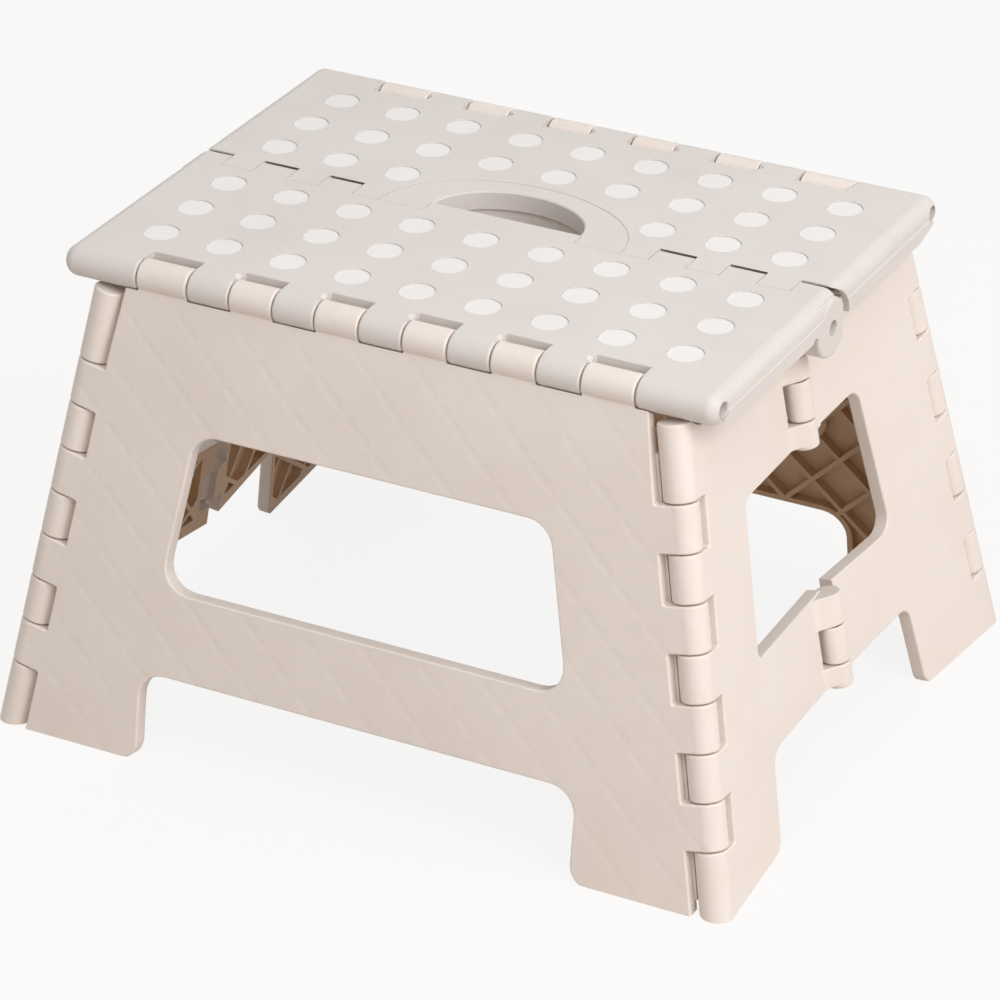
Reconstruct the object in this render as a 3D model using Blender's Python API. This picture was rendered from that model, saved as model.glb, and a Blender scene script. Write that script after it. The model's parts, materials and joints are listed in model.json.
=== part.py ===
"""Folding step stool.

A tread of two halves stands on two splayed leg panels, which are joined at both ends by
pairs of folding half panels. The model is in metres with +Z up. The origin lies on the floor
under the middle of the tread, +X runs along the long side and -Y is the front.
All sizes below are in millimetres and degrees.
"""

from math import ceil, cos, degrees, hypot, pi, radians, sin, tan

import bmesh
import bpy
from mathutils import Matrix, Vector

MM = 0.001

# Clearances
RUN_GAP = 0.6
PIN_GAP = 0.3
SEAT_GAP = 0.3
BLEND = 0.1
OVERCUT = 1.0

# Tread
TREAD_HEIGHT = 220.0
TREAD_LENGTH = 307.0
TREAD_PLATE = 3.0
TREAD_RIB = 2.0
TREAD_RIB_DEPTH = 15.0
TREAD_CROSS_RIBS = (1.5, 3.5)
SKIRT_WALL = 3.0
SKIRT_ROUND = 6.0
HAND_SLOT_LENGTH = 70.0
HAND_SLOT_DEPTH = 25.5
HAND_SLOT_WALL = 2.5
TONGUE_LENGTH = 72.4
TONGUE_REACH = 1.3

# Edge hinges between tread and leg panels
EDGE_AXIS_Y = 103.5
EDGE_BARREL_RADIUS = 7.0
EDGE_PIN_RADIUS = 3.4
EDGE_PIN_INSET = 7.5
EDGE_NOTCH = 9.0
EDGE_BARRELS = ((10.5, 30.7), (51.3, 71.5), (92.3, 116.2))

# Seam hinge between the tread's halves
SEAM_DROP = 16.0
SEAM_LOBE_RADIUS = 11.0
SEAM_PIN_RADIUS = 3.4
SEAM_PIN_INSET = 5.5
SEAM_END_GAP = 0.8
FRONT_FINGER = 17.2
FRONT_FINGERS = 3
REAR_FINGER = 15.4
REAR_FIRST_LOBE = 13.6
FRONT_REACH = 3.4
REAR_REACH = 6.5

# Grip dots
DOT_PITCH = 30.81
DOT_ROW_FIRST = 21.64
DOT_ROW_LAST_INSET = 26.05
DOT_RADIUS = 8.0
DOT_COUNT_HALF = 4
DOT_GAP_HALF = 1
STRIP_WIDTH = 18.0
STRIP_THICKNESS = 2.0

# Leg panels
LEG_SPLAY = 9.0
LEG_THICKNESS = 7.0
LEG_WINDOW_DROP = 67.6
LEG_WINDOW_BOTTOM = 80.0
LEG_WINDOW_HALF = 83.6
LEG_WINDOW_ROUND = 12.0
LEG_CUT_TOP = 41.0
LEG_CUT_HALF = 105.0
LEG_CUT_ROUND = 12.0
FOOT_ROUND = 9.0

# Corner hinges between leg panels and end halves
CORNER_FOOT_X = 170.3
CORNER_LEAN = 10.56
CORNER_RADIUS = 7.25
CORNER_PIN_RADIUS = 2.6
CORNER_PIN_INSET = 6.0
CORNER_SETBACK = 8.75
KNUCKLE_BASE = 28.7
KNUCKLE_PITCH = 21.15
KNUCKLE_COUNT = 7
KNUCKLE_TOP_DROP = 19.0

# End halves
END_TURN = 5.0
END_THICKNESS = 6.5
END_CORNER_DROP = 20.0
END_MIDDLE_DROP = 31.0
END_WINDOW_DROP = 69.0
END_WINDOW_BOTTOM = 80.4
END_WINDOW_INNER = {"front": 49.2, "rear": 61.5}
END_WINDOW_ROUND = {"front": 4.0, "rear": 8.0}
END_FOOT_INNER = {"front": 57.0, "rear": 62.5}
END_FOOT_ROUND = 4.0
END_ARCH_ROUND = 8.0
END_CUT_TOP = 41.0

# End hinges, with the front half's two knuckles round the rear half's one: the upper ones are measured
# down from the top of the tread, the lower ones up from the floor
END_AXIS_OUTSET = 2.6
END_KNUCKLE_RADIUS = 6.0
END_PIN_RADIUS = 1.25
END_LOOSE_BORE = 4.9
END_PIN_INSET = 2.0
END_SETBACK = 9.2
END_UPPER_DROPS = (73.5, 61.1, 42.9, 32.0)
END_LOWER = (36.0, 47.1, 64.7, 79.5)

# Ribs inside the panels
FACE_WALL = 2.6
RIM_WALL = 3.0
RIB_WALL = 2.4
RIB_SPACING = 38.0
POCKET_LEAST = 60.0

# Fineness of round shapes
BARREL_SIDES = 12
BORE_SIDES = 8
DOT_SIDES = 12
ARC_STEP = 45.0
MERGE_DISTANCE = 0.002
FLAT_ANGLE = 0.05

GREY = (0.72, 0.68, 0.65)
CREAM = (0.80, 0.75, 0.70)
LIGHT = (0.85, 0.82, 0.79)
STEEL = (0.55, 0.55, 0.56)
TREAD_ROUGHNESS = 0.6
PANEL_ROUGHNESS = 0.55
PIN_ROUGHNESS = 0.35


def frame_at(origin, u_axis, v_axis, w_axis):
    """Return the matrix that takes (u, v, w) in millimetres to world millimetres."""
    matrix = Matrix.Identity(4)
    for column, axis in enumerate((u_axis, v_axis, w_axis)):
        for row in range(3):
            matrix[row][column] = axis[row]
    for row in range(3):
        matrix[row][3] = origin[row]
    return matrix


def axis_frame(origin, direction, side):
    """Return a frame whose w axis runs along direction, with u as near to side as can be."""
    w_axis = Vector(direction).normalized()
    u_axis = (Vector(side) - w_axis * w_axis.dot(Vector(side))).normalized()
    return frame_at(origin, u_axis, w_axis.cross(u_axis), w_axis)


X_AXIS = Vector((1.0, 0.0, 0.0))
Y_AXIS = Vector((0.0, 1.0, 0.0))
Z_AXIS = Vector((0.0, 0.0, 1.0))
WORLD = Matrix.Identity(4)
END_ON = frame_at(Vector((0.0, 0.0, 0.0)), X_AXIS, Z_AXIS, Y_AXIS)

# Derived places
TREAD_HALF = TREAD_LENGTH / 2
EDGE_AXIS_Z = TREAD_HEIGHT - EDGE_BARREL_RADIUS
SEAM_AXIS_Z = TREAD_HEIGHT - SEAM_DROP
TREAD_UNDER = TREAD_HEIGHT - TREAD_RIB_DEPTH
PLATE_FRONT = EDGE_AXIS_Y - EDGE_NOTCH
DOT_ROW_LAST = EDGE_AXIS_Y - DOT_ROW_LAST_INSET
DOT_ROWS = (DOT_ROW_FIRST, (DOT_ROW_FIRST + DOT_ROW_LAST) / 2, DOT_ROW_LAST)
SEAM_START = TREAD_HALF - FRONT_FINGERS * FRONT_FINGER - (FRONT_FINGERS - 1) * REAR_FINGER
SEAM_FIRST = SEAM_START - REAR_FIRST_LOBE
LEG_WINDOW_TOP = TREAD_HEIGHT - LEG_WINDOW_DROP
END_TOP_CORNER = TREAD_HEIGHT - END_CORNER_DROP
END_TOP_MIDDLE = TREAD_HEIGHT - END_MIDDLE_DROP
END_WINDOW_TOP = TREAD_HEIGHT - END_WINDOW_DROP
END_UPPER = tuple(TREAD_HEIGHT - drop for drop in END_UPPER_DROPS)

SPLAY = radians(LEG_SPLAY)
LEG_UP = Vector((0.0, sin(SPLAY), cos(SPLAY)))
LEG_OUT = Vector((0.0, -cos(SPLAY), sin(SPLAY)))
EDGE_POINT = Vector((0.0, -EDGE_AXIS_Y, EDGE_AXIS_Z))
LEG = frame_at(EDGE_POINT, X_AXIS, LEG_UP, LEG_OUT)
LEG_OUTER = EDGE_BARREL_RADIUS
LEG_INNER = EDGE_BARREL_RADIUS - LEG_THICKNESS
LEG_TOP = -(EDGE_BARREL_RADIUS + 2 * RUN_GAP)
EDGE_LINE = axis_frame(EDGE_POINT, X_AXIS, Z_AXIS)
SEAM_LINE = axis_frame(Vector((0.0, 0.0, SEAM_AXIS_Z)), X_AXIS, Z_AXIS)

LEAN = radians(CORNER_LEAN)
CORNER_W = EDGE_BARREL_RADIUS - CORNER_RADIUS
CORNER_V = -(EDGE_AXIS_Z + CORNER_W * LEG_OUT.z) / LEG_UP.z
CORNER_POINT = LEG @ Vector((CORNER_FOOT_X, CORNER_V, CORNER_W))
CORNER_UP = (LEG_UP * cos(LEAN) - X_AXIS * sin(LEAN)).normalized()
CORNER_LEG = frame_at(CORNER_POINT, CORNER_UP.cross(LEG_OUT), CORNER_UP, LEG_OUT)
CORNER_LINE = axis_frame(CORNER_POINT, CORNER_UP, X_AXIS)
KNUCKLE_TOP = (TREAD_HEIGHT - KNUCKLE_TOP_DROP - CORNER_POINT.z) / CORNER_UP.z

END_LEVEL = Vector((1.0, tan(radians(END_TURN)), 0.0))
END_RISE = -CORNER_UP.dot(END_LEVEL) / CORNER_UP.z
END_OUT = (END_LEVEL + Z_AXIS * END_RISE).normalized()
END_ACROSS = CORNER_UP.cross(END_OUT)
END = frame_at(CORNER_POINT, END_ACROSS, CORNER_UP, END_OUT)
END_OUTER = CORNER_RADIUS
END_INNER = CORNER_RADIUS - END_THICKNESS
HINGE_W = CORNER_RADIUS + END_AXIS_OUTSET


def hinge_across(up):
    """Return how far across the end half its middle hinge axis lies, at height up along the corner."""
    start = END @ Vector((0.0, up, HINGE_W))
    return -start.y / END_ACROSS.y


HINGE_LOW = END @ Vector((hinge_across(0.0), 0.0, HINGE_W))
HINGE_HIGH = END @ Vector((hinge_across(KNUCKLE_TOP), KNUCKLE_TOP, HINGE_W))
HINGE_UP = (HINGE_HIGH - HINGE_LOW).normalized()
HINGE_LINE = axis_frame(HINGE_LOW, HINGE_UP, END_ACROSS)
HINGE_SIDE = frame_at(HINGE_LOW, HINGE_UP.cross(END_OUT), END_OUT, HINGE_UP)


def hinge_along(height):
    """Return the distance along the end hinge axis at a height over the floor."""
    return (height - HINGE_LOW.z) / HINGE_UP.z


def end_point(across, height):
    """Return the point of the end half's outer face at a distance across and a height."""
    start = END @ Vector((across, 0.0, END_OUTER))
    return (across, (height - start.z) / CORNER_UP.z)


def end_edge(height):
    """Return the point of the end half's edge beside the middle hinge, at a height."""
    across, up = end_point(hinge_across(height) - END_SETBACK, height)
    return end_point(hinge_across(up) - END_SETBACK, height)


def leg_point(side, height):
    """Return the point of the leg's outer face at a distance from the middle and a height."""
    start = LEG @ Vector((0.0, 0.0, LEG_OUTER))
    return (side, (height - start.z) / LEG_UP.z)


def leg_side(up):
    """Return how far from the middle the leg panel's sloping edge lies."""
    axis = CORNER_FOOT_X - (up - CORNER_V) * tan(LEAN)
    return axis - CORNER_SETBACK / cos(LEAN)


def area_of(outline):
    """Return the signed area of a closed outline."""
    total = 0.0
    for index, (x_here, y_here) in enumerate(outline):
        x_last, y_last = outline[index - 1]
        total += x_last * y_here - x_here * y_last
    return total / 2


def rounded(corners):
    """Return an outline from (x, y, radius) corners, each rounded by an arc."""
    outline = []
    count = len(corners)
    for index, (x_here, y_here, radius) in enumerate(corners):
        here = Vector((x_here, y_here))
        if radius <= 0.0:
            outline.append((x_here, y_here))
            continue
        back = (Vector(corners[index - 1][:2]) - here).normalized()
        ahead = (Vector(corners[(index + 1) % count][:2]) - here).normalized()
        half = back.angle(ahead) / 2
        centre = here + (back + ahead).normalized() * (radius / sin(half))
        start = here + back * (radius / tan(half)) - centre
        end = here + ahead * (radius / tan(half)) - centre
        sweep = start.angle_signed(end)
        steps = max(2, ceil(abs(degrees(sweep)) / ARC_STEP))
        for step in range(steps + 1):
            angle = -sweep * step / steps
            turned = Matrix.Rotation(angle, 2) @ start
            outline.append((centre.x + turned.x, centre.y + turned.y))
    return outline


def clip(outline, normal, limit):
    """Return the part of a convex outline where the dot product with normal is at least limit."""
    kept = []
    for index, here in enumerate(outline):
        last = outline[index - 1]
        side_here = here[0] * normal[0] + here[1] * normal[1] - limit
        side_last = last[0] * normal[0] + last[1] * normal[1] - limit
        if (side_here < 0.0) != (side_last < 0.0):
            share = side_last / (side_last - side_here)
            kept.append((last[0] + (here[0] - last[0]) * share, last[1] + (here[1] - last[1]) * share))
        if side_here >= 0.0:
            kept.append(here)
    return kept


def add_body(name, mesh_maker):
    """Link a new object whose mesh the maker fills."""
    mesh = bpy.data.meshes.new(name)
    maker = bmesh.new()
    mesh_maker(maker)
    bmesh.ops.recalc_face_normals(maker, faces=maker.faces)
    maker.to_mesh(mesh)
    maker.free()
    body = bpy.data.objects.new(name, mesh)
    bpy.context.scene.collection.objects.link(body)
    return body


def prism(outline, frame, low, high):
    """Make a closed prism from an outline in the frame's u and v, between two w values."""

    def fill(maker):
        bottom = [maker.verts.new(frame @ Vector((u, v, low)) * MM) for u, v in outline]
        top = [maker.verts.new(frame @ Vector((u, v, high)) * MM) for u, v in outline]
        maker.faces.new(bottom[::-1])
        maker.faces.new(top)
        for index in range(len(outline)):
            maker.faces.new((bottom[index - 1], bottom[index], top[index], top[index - 1]))

    return add_body("prism", fill)


def box(frame, u_range, v_range, w_range):
    """Make a closed box in a frame."""
    corners = [(u_range[0], v_range[0]), (u_range[1], v_range[0])]
    corners += [(u_range[1], v_range[1]), (u_range[0], v_range[1])]
    return prism(corners, frame, w_range[0], w_range[1])


def drum(line, radius, low, high, sides):
    """Make a cylinder round a line frame's w axis."""
    turn = 2 * pi / sides
    outline = [(radius * cos(turn * (k + 0.5)), radius * sin(turn * (k + 0.5))) for k in range(sides)]
    return prism(outline, line, low, high)


def grouped(bodies):
    """Join bodies that do not touch each other into one object."""
    maker = bmesh.new()
    for body in bodies:
        maker.from_mesh(body.data)
        mesh = body.data
        bpy.data.objects.remove(body)
        bpy.data.meshes.remove(mesh)
    mesh = bpy.data.meshes.new("group")
    maker.to_mesh(mesh)
    maker.free()
    body = bpy.data.objects.new("group", mesh)
    bpy.context.scene.collection.objects.link(body)
    return body


def combine(body, tools, operation):
    """Apply a Boolean of body with a list of tools that do not touch each other."""
    tool = grouped(tools)
    modifier = body.modifiers.new("Boolean", "BOOLEAN")
    modifier.operation = operation
    modifier.solver = "EXACT"
    modifier.object = tool
    graph = bpy.context.evaluated_depsgraph_get()
    result = bpy.data.meshes.new_from_object(body.evaluated_get(graph))
    body.modifiers.clear()
    used = (body.data, tool.data)
    body.data = result
    bpy.data.objects.remove(tool)
    for mesh in used:
        bpy.data.meshes.remove(mesh)
    return body


def join(body, *tools):
    """Unite tools with body."""
    return combine(body, tools, "UNION")


def cut(body, *tools):
    """Cut tools out of body."""
    return combine(body, tools, "DIFFERENCE")


def mirrored(body, axis):
    """Mirror a body's mesh through the plane across an axis, keeping its faces outward."""
    body.data.transform(Matrix.Scale(-1.0, 4, axis))
    body.data.flip_normals()
    return body


def paint(name, colour, roughness, metallic):
    """Make a material."""
    material = bpy.data.materials.new(name)
    material.use_nodes = True
    shader = material.node_tree.nodes["Principled BSDF"]
    shader.inputs["Base Color"].default_value = (*colour, 1.0)
    shader.inputs["Roughness"].default_value = roughness
    shader.inputs["Metallic"].default_value = metallic
    return material


def finish(body, name, pivot, material):
    """Name a body, clean its mesh, set its origin on its joint axis and give it its material."""
    body.name = name
    body.data.name = name
    maker = bmesh.new()
    maker.from_mesh(body.data)
    bmesh.ops.remove_doubles(maker, verts=maker.verts, dist=MERGE_DISTANCE * MM)
    bmesh.ops.dissolve_limit(maker, angle_limit=radians(FLAT_ANGLE), verts=maker.verts, edges=maker.edges)
    bmesh.ops.triangulate(maker, faces=maker.faces)
    maker.to_mesh(body.data)
    maker.free()
    origin = Vector(pivot) * MM
    body.data.transform(Matrix.Translation(-origin))
    body.location = origin
    body.data.materials.clear()
    body.data.materials.append(material)
    body.data.shade_smooth()
    body.data.set_sharp_from_angle(angle=radians(ARC_STEP + FLAT_ANGLE))
    return body


def pockets(outline, frame, low, high):
    """Make lattice pockets: diamonds between crossing ribs, clipped to a convex outline."""
    if area_of(outline) < 0.0:
        outline = outline[::-1]
    slant = cos(pi / 4)
    reach = max(hypot(*point) for point in outline)
    count = ceil(reach / RIB_SPACING)
    bodies = []
    for first in range(-count, count):
        for second in range(-count, count):
            cell = outline
            for normal, step in (((slant, slant), first), ((slant, -slant), second)):
                start = step * RIB_SPACING + RIB_WALL / 2
                end = (step + 1) * RIB_SPACING - RIB_WALL / 2
                cell = clip(cell, normal, start)
                cell = clip(cell, (-normal[0], -normal[1]), -end)
            if len(cell) > 2 and abs(area_of(cell)) > POCKET_LEAST:
                bodies.append(prism(cell, frame, low, high))
    return bodies


def floor_cut():
    """Make the block below the floor that trims the feet."""
    reach = 2 * CORNER_FOOT_X
    return box(WORLD, (-reach, reach), (-reach, reach), (-reach, 0.0))


def knuckle_range(index):
    """Return the ends of a corner knuckle, counted from below, with the running gap taken off."""
    low = KNUCKLE_BASE + KNUCKLE_PITCH * index + RUN_GAP / 2
    return (low, low + KNUCKLE_PITCH - RUN_GAP)


def both_sides(pair):
    """Return a range at +X and its mirror image at -X."""
    return (pair, (-pair[1], -pair[0]))


def pair_x(body):
    """Return a body and its mirror image through the plane across X."""
    twin = bpy.data.objects.new(body.name, body.data.copy())
    bpy.context.scene.collection.objects.link(twin)
    return [body, mirrored(twin, X_AXIS)]


def edge_spaces():
    """Return the tread's barrel ranges between the leg's barrels; the first lies across the middle."""
    gap = RUN_GAP
    spaces = [(gap - EDGE_BARRELS[0][0], EDGE_BARRELS[0][0] - gap)]
    for (_, low), (high, _) in zip(EDGE_BARRELS, EDGE_BARRELS[1:]):
        spaces.append((low + gap, high - gap))
    spaces.append((EDGE_BARRELS[-1][1] + gap, TREAD_HALF))
    return spaces


def leg_pockets():
    """Make the lattice pockets behind the front leg panel's face."""
    low = LEG_INNER - OVERCUT
    high = LEG_OUTER - FACE_WALL
    levels = [leg_point(0.0, height)[1] for height in
              (0.0, LEG_CUT_TOP, LEG_WINDOW_BOTTOM, LEG_WINDOW_TOP)]
    floor_up, cut_up, window_low, window_top = levels
    top = LEG_TOP - RIM_WALL
    spread = (window_top - window_low) * tan(LEAN)
    bands = (
        (window_top + RIM_WALL, top, None, None),
        (cut_up + RIM_WALL, window_low - RIM_WALL, None, None),
        (window_low, window_top, LEG_WINDOW_HALF + spread, LEG_WINDOW_HALF),
        (floor_up + 2 * RIM_WALL, cut_up, LEG_CUT_HALF, LEG_CUT_HALF))
    bodies = []
    for bottom, height, inner_low, inner_high in bands:
        outer_low = leg_side(bottom) - RIM_WALL
        outer_high = leg_side(height) - RIM_WALL
        if inner_low is None:
            outline = [(-outer_low, bottom), (outer_low, bottom), (outer_high, height), (-outer_high, height)]
            bodies += pockets(outline, LEG, low, high)
        else:
            outline = [(inner_low + RIM_WALL, bottom), (outer_low, bottom),
                       (outer_high, height), (inner_high + RIM_WALL, height)]
            bodies += pockets(outline, LEG, low, high)
            bodies += pockets([(-u, v) for u, v in outline], LEG, low, high)
    return bodies


def leg_panel():
    """Make the front leg panel."""
    below = leg_point(0.0, -OVERCUT)[1]
    cut_up = leg_point(0.0, LEG_CUT_TOP)[1]
    outline = rounded([
        (-leg_side(below), below, 0.0), (-LEG_CUT_HALF, below, FOOT_ROUND),
        (-LEG_CUT_HALF, cut_up, LEG_CUT_ROUND), (LEG_CUT_HALF, cut_up, LEG_CUT_ROUND),
        (LEG_CUT_HALF, below, FOOT_ROUND), (leg_side(below), below, 0.0),
        (leg_side(LEG_TOP), LEG_TOP, 0.0), (-leg_side(LEG_TOP), LEG_TOP, 0.0)])
    panel = prism(outline, LEG, LEG_INNER, LEG_OUTER)

    window_top = leg_point(0.0, LEG_WINDOW_TOP)[1]
    window_low = leg_point(0.0, LEG_WINDOW_BOTTOM)[1]
    low_half = LEG_WINDOW_HALF + (window_top - window_low) * tan(LEAN)
    window = rounded([
        (-low_half, window_low, LEG_WINDOW_ROUND), (low_half, window_low, LEG_WINDOW_ROUND),
        (LEG_WINDOW_HALF, window_top, LEG_WINDOW_ROUND), (-LEG_WINDOW_HALF, window_top, LEG_WINDOW_ROUND)])
    cut(panel, prism(window, LEG, LEG_INNER - OVERCUT, LEG_OUTER + OVERCUT))
    cut(panel, *leg_pockets())

    barrels = []
    necks = []
    for pair in EDGE_BARRELS:
        for low, high in both_sides(pair):
            barrels.append(drum(EDGE_LINE, EDGE_BARREL_RADIUS, low, high, BARREL_SIDES))
            necks.append(box(LEG, (low + BLEND, high - BLEND), (LEG_TOP - RIM_WALL / 2, 0.0),
                             (LEG_INNER + BLEND, LEG_OUTER - BLEND)))
    for index in range(0, KNUCKLE_COUNT, 2):
        low, high = knuckle_range(index)
        barrels += pair_x(drum(CORNER_LINE, CORNER_RADIUS, low, high, BARREL_SIDES))
        necks += pair_x(box(CORNER_LEG, (-CORNER_SETBACK - RIM_WALL / 2, 0.0), (low + BLEND, high - BLEND),
                            (LEG_INNER - CORNER_W + BLEND, LEG_OUTER - CORNER_W - BLEND)))
    join(panel, *necks)
    join(panel, *barrels)
    bores = pair_x(drum(CORNER_LINE, CORNER_PIN_RADIUS + PIN_GAP, CORNER_PIN_INSET - PIN_GAP,
                        KNUCKLE_TOP, BORE_SIDES))
    reach = TREAD_HALF
    bores.append(drum(EDGE_LINE, EDGE_PIN_RADIUS + PIN_GAP, -reach, reach, BORE_SIDES))
    cut(panel, *bores)
    cut(panel, floor_cut())
    return panel


def end_pockets(kind):
    """Make the lattice pockets behind an end half's face."""
    side = CORNER_SETBACK + RIM_WALL
    window = END_WINDOW_INNER[kind] - RIM_WALL
    foot = END_FOOT_INNER[kind] - RIM_WALL
    middle = (END_TOP_CORNER + END_TOP_MIDDLE) / 2

    def edge(height):
        across, up = end_edge(height)
        return (across - RIM_WALL, up)

    upper_low = END_WINDOW_TOP + RIM_WALL
    upper_high = middle - 2 * RIM_WALL
    lower_low = END_CUT_TOP + RIM_WALL
    lower_high = END_WINDOW_BOTTOM - RIM_WALL
    outlines = (
        [end_point(side, upper_low), edge(upper_low), edge(END_TOP_MIDDLE - RIM_WALL),
         end_point(side, upper_high)],
        [end_point(side, lower_low), edge(lower_low), edge(lower_high), end_point(side, lower_high)],
        [end_point(side, END_WINDOW_BOTTOM), end_point(window, END_WINDOW_BOTTOM),
         end_point(window, END_WINDOW_TOP), end_point(side, END_WINDOW_TOP)],
        [end_point(side, 2 * RIM_WALL), end_point(foot, 2 * RIM_WALL),
         end_point(foot, END_CUT_TOP), end_point(side, END_CUT_TOP)])
    bodies = []
    for outline in outlines:
        bodies += pockets(outline, END, END_INNER - OVERCUT, END_OUTER - FACE_WALL)
    return bodies


def end_half(kind):
    """Make an end half at the right front corner, with the front or the rear half's shape."""
    side = CORNER_SETBACK
    window = END_WINDOW_INNER[kind]
    foot = END_FOOT_INNER[kind]
    bend = END_WINDOW_ROUND[kind]
    outline = rounded([
        (*end_point(side, -OVERCUT), 0.0), (*end_point(foot, -OVERCUT), END_FOOT_ROUND),
        (*end_point(foot, END_CUT_TOP), END_ARCH_ROUND), (*end_edge(END_CUT_TOP), 0.0),
        (*end_edge(END_WINDOW_BOTTOM), 0.0), (*end_point(window, END_WINDOW_BOTTOM), bend),
        (*end_point(window, END_WINDOW_TOP), bend), (*end_edge(END_WINDOW_TOP), 0.0),
        (*end_edge(END_TOP_MIDDLE), 0.0), (*end_point(side, END_TOP_CORNER), 0.0)])
    panel = prism(outline, END, END_INNER, END_OUTER)
    cut(panel, *end_pockets(kind))

    ranges = [knuckle_range(index) for index in range(1, KNUCKLE_COUNT, 2)]
    ranges.append((-CORNER_RADIUS, KNUCKLE_BASE - RUN_GAP / 2))
    ranges.append((KNUCKLE_BASE + KNUCKLE_PITCH * KNUCKLE_COUNT + RUN_GAP / 2, KNUCKLE_TOP))
    barrels = [drum(CORNER_LINE, CORNER_RADIUS, low, high, BARREL_SIDES) for low, high in ranges]
    necks = [box(END, (0.0, side + RIM_WALL / 2), (low + BLEND, high - BLEND),
                 (END_INNER + BLEND, END_OUTER - BLEND)) for low, high in ranges]

    face = -END_AXIS_OUTSET - BLEND
    under = BLEND - END_KNUCKLE_RADIUS
    rise = END_KNUCKLE_RADIUS * sin(pi / 4) - RUN_GAP
    profile = [(-END_SETBACK - RIM_WALL, under), (0.0, under), (0.0, rise), (-rise, rise),
               (-END_SETBACK, face), (-END_SETBACK - RIM_WALL, face)]
    knuckles = []
    for low, first, second, high in (END_UPPER, END_LOWER):
        gap = RUN_GAP / 2
        if kind == "front":
            spans = ((low, first - gap), (second + gap, high))
        else:
            spans = ((first + gap, second - gap),)
        for start, stop in spans:
            along = (hinge_along(start), hinge_along(stop))
            knuckles.append(drum(HINGE_LINE, END_KNUCKLE_RADIUS, *along, BARREL_SIDES))
            necks.append(prism(profile, HINGE_SIDE, along[0] + BLEND, along[1] - BLEND))
    join(panel, *necks)
    join(panel, *barrels, *knuckles)

    hinge_bore = END_PIN_RADIUS + PIN_GAP if kind == "front" else END_LOOSE_BORE
    bores = [drum(CORNER_LINE, CORNER_PIN_RADIUS + PIN_GAP, CORNER_PIN_INSET - PIN_GAP,
                  KNUCKLE_TOP + OVERCUT, BORE_SIDES)]
    for group in (END_UPPER, END_LOWER):
        bores.append(drum(HINGE_LINE, hinge_bore, hinge_along(group[0]) - OVERCUT,
                          hinge_along(group[3]) + OVERCUT, BORE_SIDES))
    cut(panel, *bores)
    cut(panel, floor_cut())
    return panel


def seam_fingers(kind):
    """Return the ranges of a tread half's fingers along the seam, at +X."""
    gap = RUN_GAP / 2
    pitch = FRONT_FINGER + REAR_FINGER
    fronts = [(SEAM_START + pitch * k, SEAM_START + pitch * k + FRONT_FINGER) for k in range(FRONT_FINGERS)]
    fronts[-1] = (fronts[-1][0], TREAD_HALF + gap)
    if kind == "front":
        return [(low + gap, high - gap) for low, high in fronts]
    rears = [(SEAM_FIRST, SEAM_START - gap)]
    for (_, low), (high, _) in zip(fronts, fronts[1:]):
        rears.append((low + gap, high - gap))
    return rears


def seam_edge(kind):
    """Return the tread half's seam line at +X, as points from the end toward the middle."""
    gap = RUN_GAP / 2
    tongue = TONGUE_LENGTH / 2
    if kind == "front":
        reach, recess = FRONT_REACH, -REAR_REACH - gap
        bands = seam_fingers(kind) + [(0.0, tongue - gap)]
    else:
        reach, recess = REAR_REACH, -FRONT_REACH - SEAM_END_GAP
        bands = [(tongue + gap, SEAM_START - gap)] + seam_fingers(kind)[1:]
    limit = TREAD_HALF - SKIRT_ROUND
    points = []
    for low, high in sorted(bands, reverse=True):
        if low == 0.0:
            points += [(high, recess), (high, TONGUE_REACH), (low, TONGUE_REACH)]
            continue
        if high < limit:
            points += [(high, recess), (high, reach)]
        else:
            points.append((limit, reach))
        points += [(low, reach), (low, recess)]
    if kind == "rear":
        points.insert(0, (limit, recess))
        points[-1] = (points[-1][0], -TONGUE_REACH - gap)
        points.append((0.0, -TONGUE_REACH - gap))
    return points


def ellipse(half_x, half_y, centre_y):
    """Return an ellipse's outline."""
    turn = 2 * pi / (2 * BARREL_SIDES)
    return [(half_x * cos(turn * (k + 0.5)), centre_y + half_y * sin(turn * (k + 0.5)))
            for k in range(2 * BARREL_SIDES)]


def dot_places(row, kind):
    """Return the groups of dot positions along a row; the rear half's first row leaves the hand slot free."""
    places = range(-DOT_COUNT_HALF, DOT_COUNT_HALF + 1)
    if kind == "rear" and row == 0:
        return [[k for k in places if k < -DOT_GAP_HALF], [k for k in places if k > DOT_GAP_HALF]]
    return [list(places)]


def dot_line(place, row):
    """Return the upright line through a dot."""
    return axis_frame(Vector((place * DOT_PITCH, -DOT_ROWS[row], 0.0)), Z_AXIS, X_AXIS)


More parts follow.
